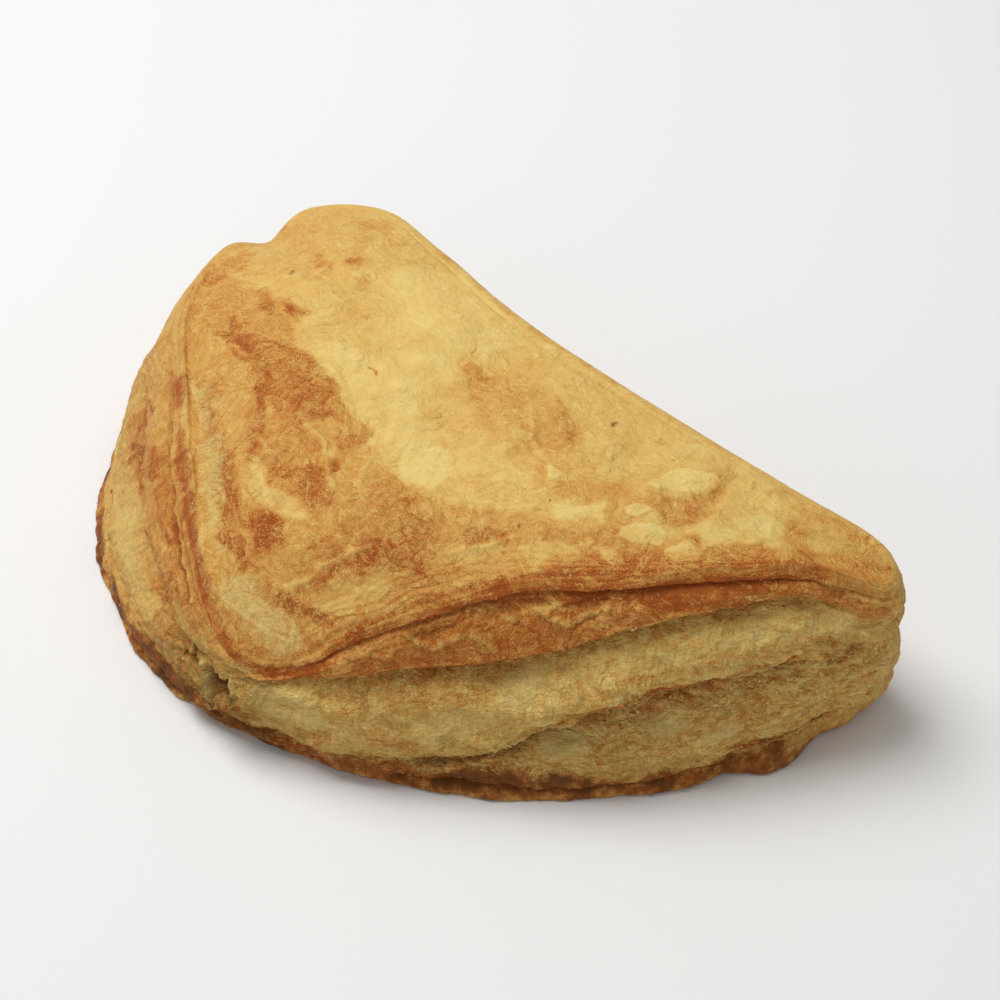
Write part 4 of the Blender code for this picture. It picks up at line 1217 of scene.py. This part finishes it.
def flake_faces():
    """List the faces of one flake."""
    faces = []
    under = FLAKE_CORNERS + 1
    for corner in range(FLAKE_CORNERS):
        a, b = 1 + corner, 1 + (corner + 1) % FLAKE_CORNERS
        faces += [(0, a, b), (under, under + b, under + a), (a, under + a, under + b, b)]
    return faces


def loose_flakes(places, normals, values, material):
    """Scatter thin flakes along the lips and over the bellies, half loose on the crust."""
    draw = np.random.default_rng(3)
    weight = values["shed"] * (places[:, 2] > LOWEST_FLAKE * MM)
    chosen = draw.choice(len(places), FLAKES, replace=False, p=weight / weight.sum())
    points, faces, toast = [], [], []
    single, corners = flake_faces(), 2 * (FLAKE_CORNERS + 1)
    for number, vertex in enumerate(chosen):
        normal = Vector(normals[vertex] + draw.normal(0, 0.3, 3)).normalized()
        along = normal.cross(Vector((0, 0, 1)) + Vector(draw.normal(0, 0.6, 3))).normalized()
        local = flake(draw) * MM @ np.array([along, normal.cross(along), normal])
        points.append(places[vertex] + normals[vertex] * FLAKE_LIFT * MM + local)
        faces += [tuple(corner + number * corners for corner in face) for face in single]
        toast += [values["toast"][vertex] * draw.uniform(0.5, 1.0)] * corners
    mesh = new_mesh("flakes", np.concatenate(points), faces, {"toast": np.array(toast)}, material)
    mesh.validate()
    piece = new_object("flakes", mesh)
    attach(piece, "root")


def new_mesh(name, points, faces, values, material):
    """Make a mesh with a material, and values for the material to read."""
    mesh = bpy.data.meshes.new(name)
    mesh.from_pydata(points, [], faces)
    for key, value in values.items():
        mesh.attributes.new(key, "FLOAT", "POINT").data.foreach_set("value", value.astype(np.float32))
    mesh.materials.append(material)
    return mesh


def new_object(name, data):
    """Put a mesh, a light or a camera in the scene."""
    thing = bpy.data.objects.new(name, data)
    bpy.context.scene.collection.objects.link(thing)
    return thing


def smooth_normals(points, faces):
    """Work out the normals of the whole pie, so that its pieces meet without a line."""
    mesh = bpy.data.meshes.new("whole")
    mesh.from_pydata(points, [], faces)
    normals = np.empty(3 * len(points))
    mesh.vertex_normals.foreach_get("vector", normals)
    bpy.data.meshes.remove(mesh)
    return normals.reshape(-1, 3)


def crust_piece(name, points, faces, normals, values, material):
    """Make one piece of the crust from some of the pie's faces."""
    used, corners = np.unique(faces, return_inverse=True)
    values = {key: value[used] for key, value in values.items()}
    mesh = new_mesh(name, points[used], corners.reshape(-1, 4).tolist(), values, material)
    mesh.shade_smooth()
    mesh.normals_split_custom_set_from_vertices(normals[used])
    piece = new_object(name, mesh)
    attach(piece, "root")
    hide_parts("pastry")


def pie():
    """Make the pie's pieces at the frame's place: the top crust in two, the wall and the base in two, and the
    loose flakes. Tell how far they were moved.
    """
    points, faces, values, top_faces, first = shape_pie()
    low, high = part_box("pastry")
    goal = np.array((low + high) / 2)[:2] / MM
    shift = np.array([*(goal - (points.min(axis=0) + points.max(axis=0))[:2] / 2), 0])
    edge = slice(first, first + 4 * ACROSS)
    on_top = {name: value.copy() for name, value in values.items()}
    edge_places = {"run": TOP_RUN * points[edge, 0], "side": points[edge, 1], "beside": 0}
    for name, value in edge_places.items():
        on_top[name][edge] = value
    placed = (points + shift) * MM
    normals = smooth_normals(placed, faces)
    material = pastry_material()
    half, low_leaves = top_faces // 2, top_faces + 4 * ACROSS * sum(LEAF_ROWS) // 2
    crust_piece("front_crust", placed, faces[:half], normals, on_top, material)
    crust_piece("back_crust", placed, faces[half:top_faces], normals, on_top, material)
    crust_piece("upper_leaves", placed, faces[top_faces:low_leaves], normals, values, material)
    crust_piece("lower_leaves", placed, faces[low_leaves:], normals, values, material)
    loose_flakes(placed, normals, values, material)
    return shift


def floor():
    """A pale, plain floor."""
    material = bpy.data.materials.new("floor")
    material.use_nodes = True
    shader = material.node_tree.nodes["Principled BSDF"]
    for name, value in FLOOR_LOOK.items():
        shader.inputs[name].default_value = value
    corners = [(x * FLOOR_REACH, y * FLOOR_REACH, 0) for x, y in ((-1, -1), (1, -1), (1, 1), (-1, 1))]
    plane = new_object("floor", new_mesh("floor", corners, [(0, 1, 2, 3)], {}, material))
    plane.location.z = -FLOOR_GAP * MM


def studio():
    """Light the pie softly from above, with a pale surround."""
    for name, (place, goal, size, power, colour) in LIGHTS.items():
        light = bpy.data.lights.new(name, "AREA")
        light.size, light.energy, light.color = size, power, colour
        lamp = new_object(name, light)
        lamp.location = place
        lamp.rotation_euler = (Vector(place) - Vector(goal)).to_track_quat("Z", "Y").to_euler()
    world = bpy.data.worlds.new("studio")
    world.use_nodes = True
    background = world.node_tree.nodes["Background"]
    background.inputs["Color"].default_value = (1, 1, 1, 1)
    background.inputs["Strength"].default_value = SURROUND
    bpy.context.scene.world = world
    bpy.context.scene.view_settings.view_transform = "Standard"


def camera(shift):
    """Look at the pie from the photograph's side."""
    turn, tilt = math.radians(CAMERA_ROUND), math.radians(CAMERA_DOWN)
    back = Vector((math.sin(turn) * math.cos(tilt), -math.cos(turn) * math.cos(tilt), math.sin(tilt)))
    data = bpy.data.cameras.new("camera")
    data.lens = CAMERA_LENS
    view = new_object("camera", data)
    view.location = Vector((CAMERA_TARGET + shift) * MM) + back * CAMERA_DISTANCE * MM
    view.rotation_euler = back.to_track_quat("Z", "Y").to_euler()
    bpy.context.scene.camera = view


def main():
    """Build the whole scene."""
    shift = pie()
    floor()
    studio()
    camera(shift)


main()
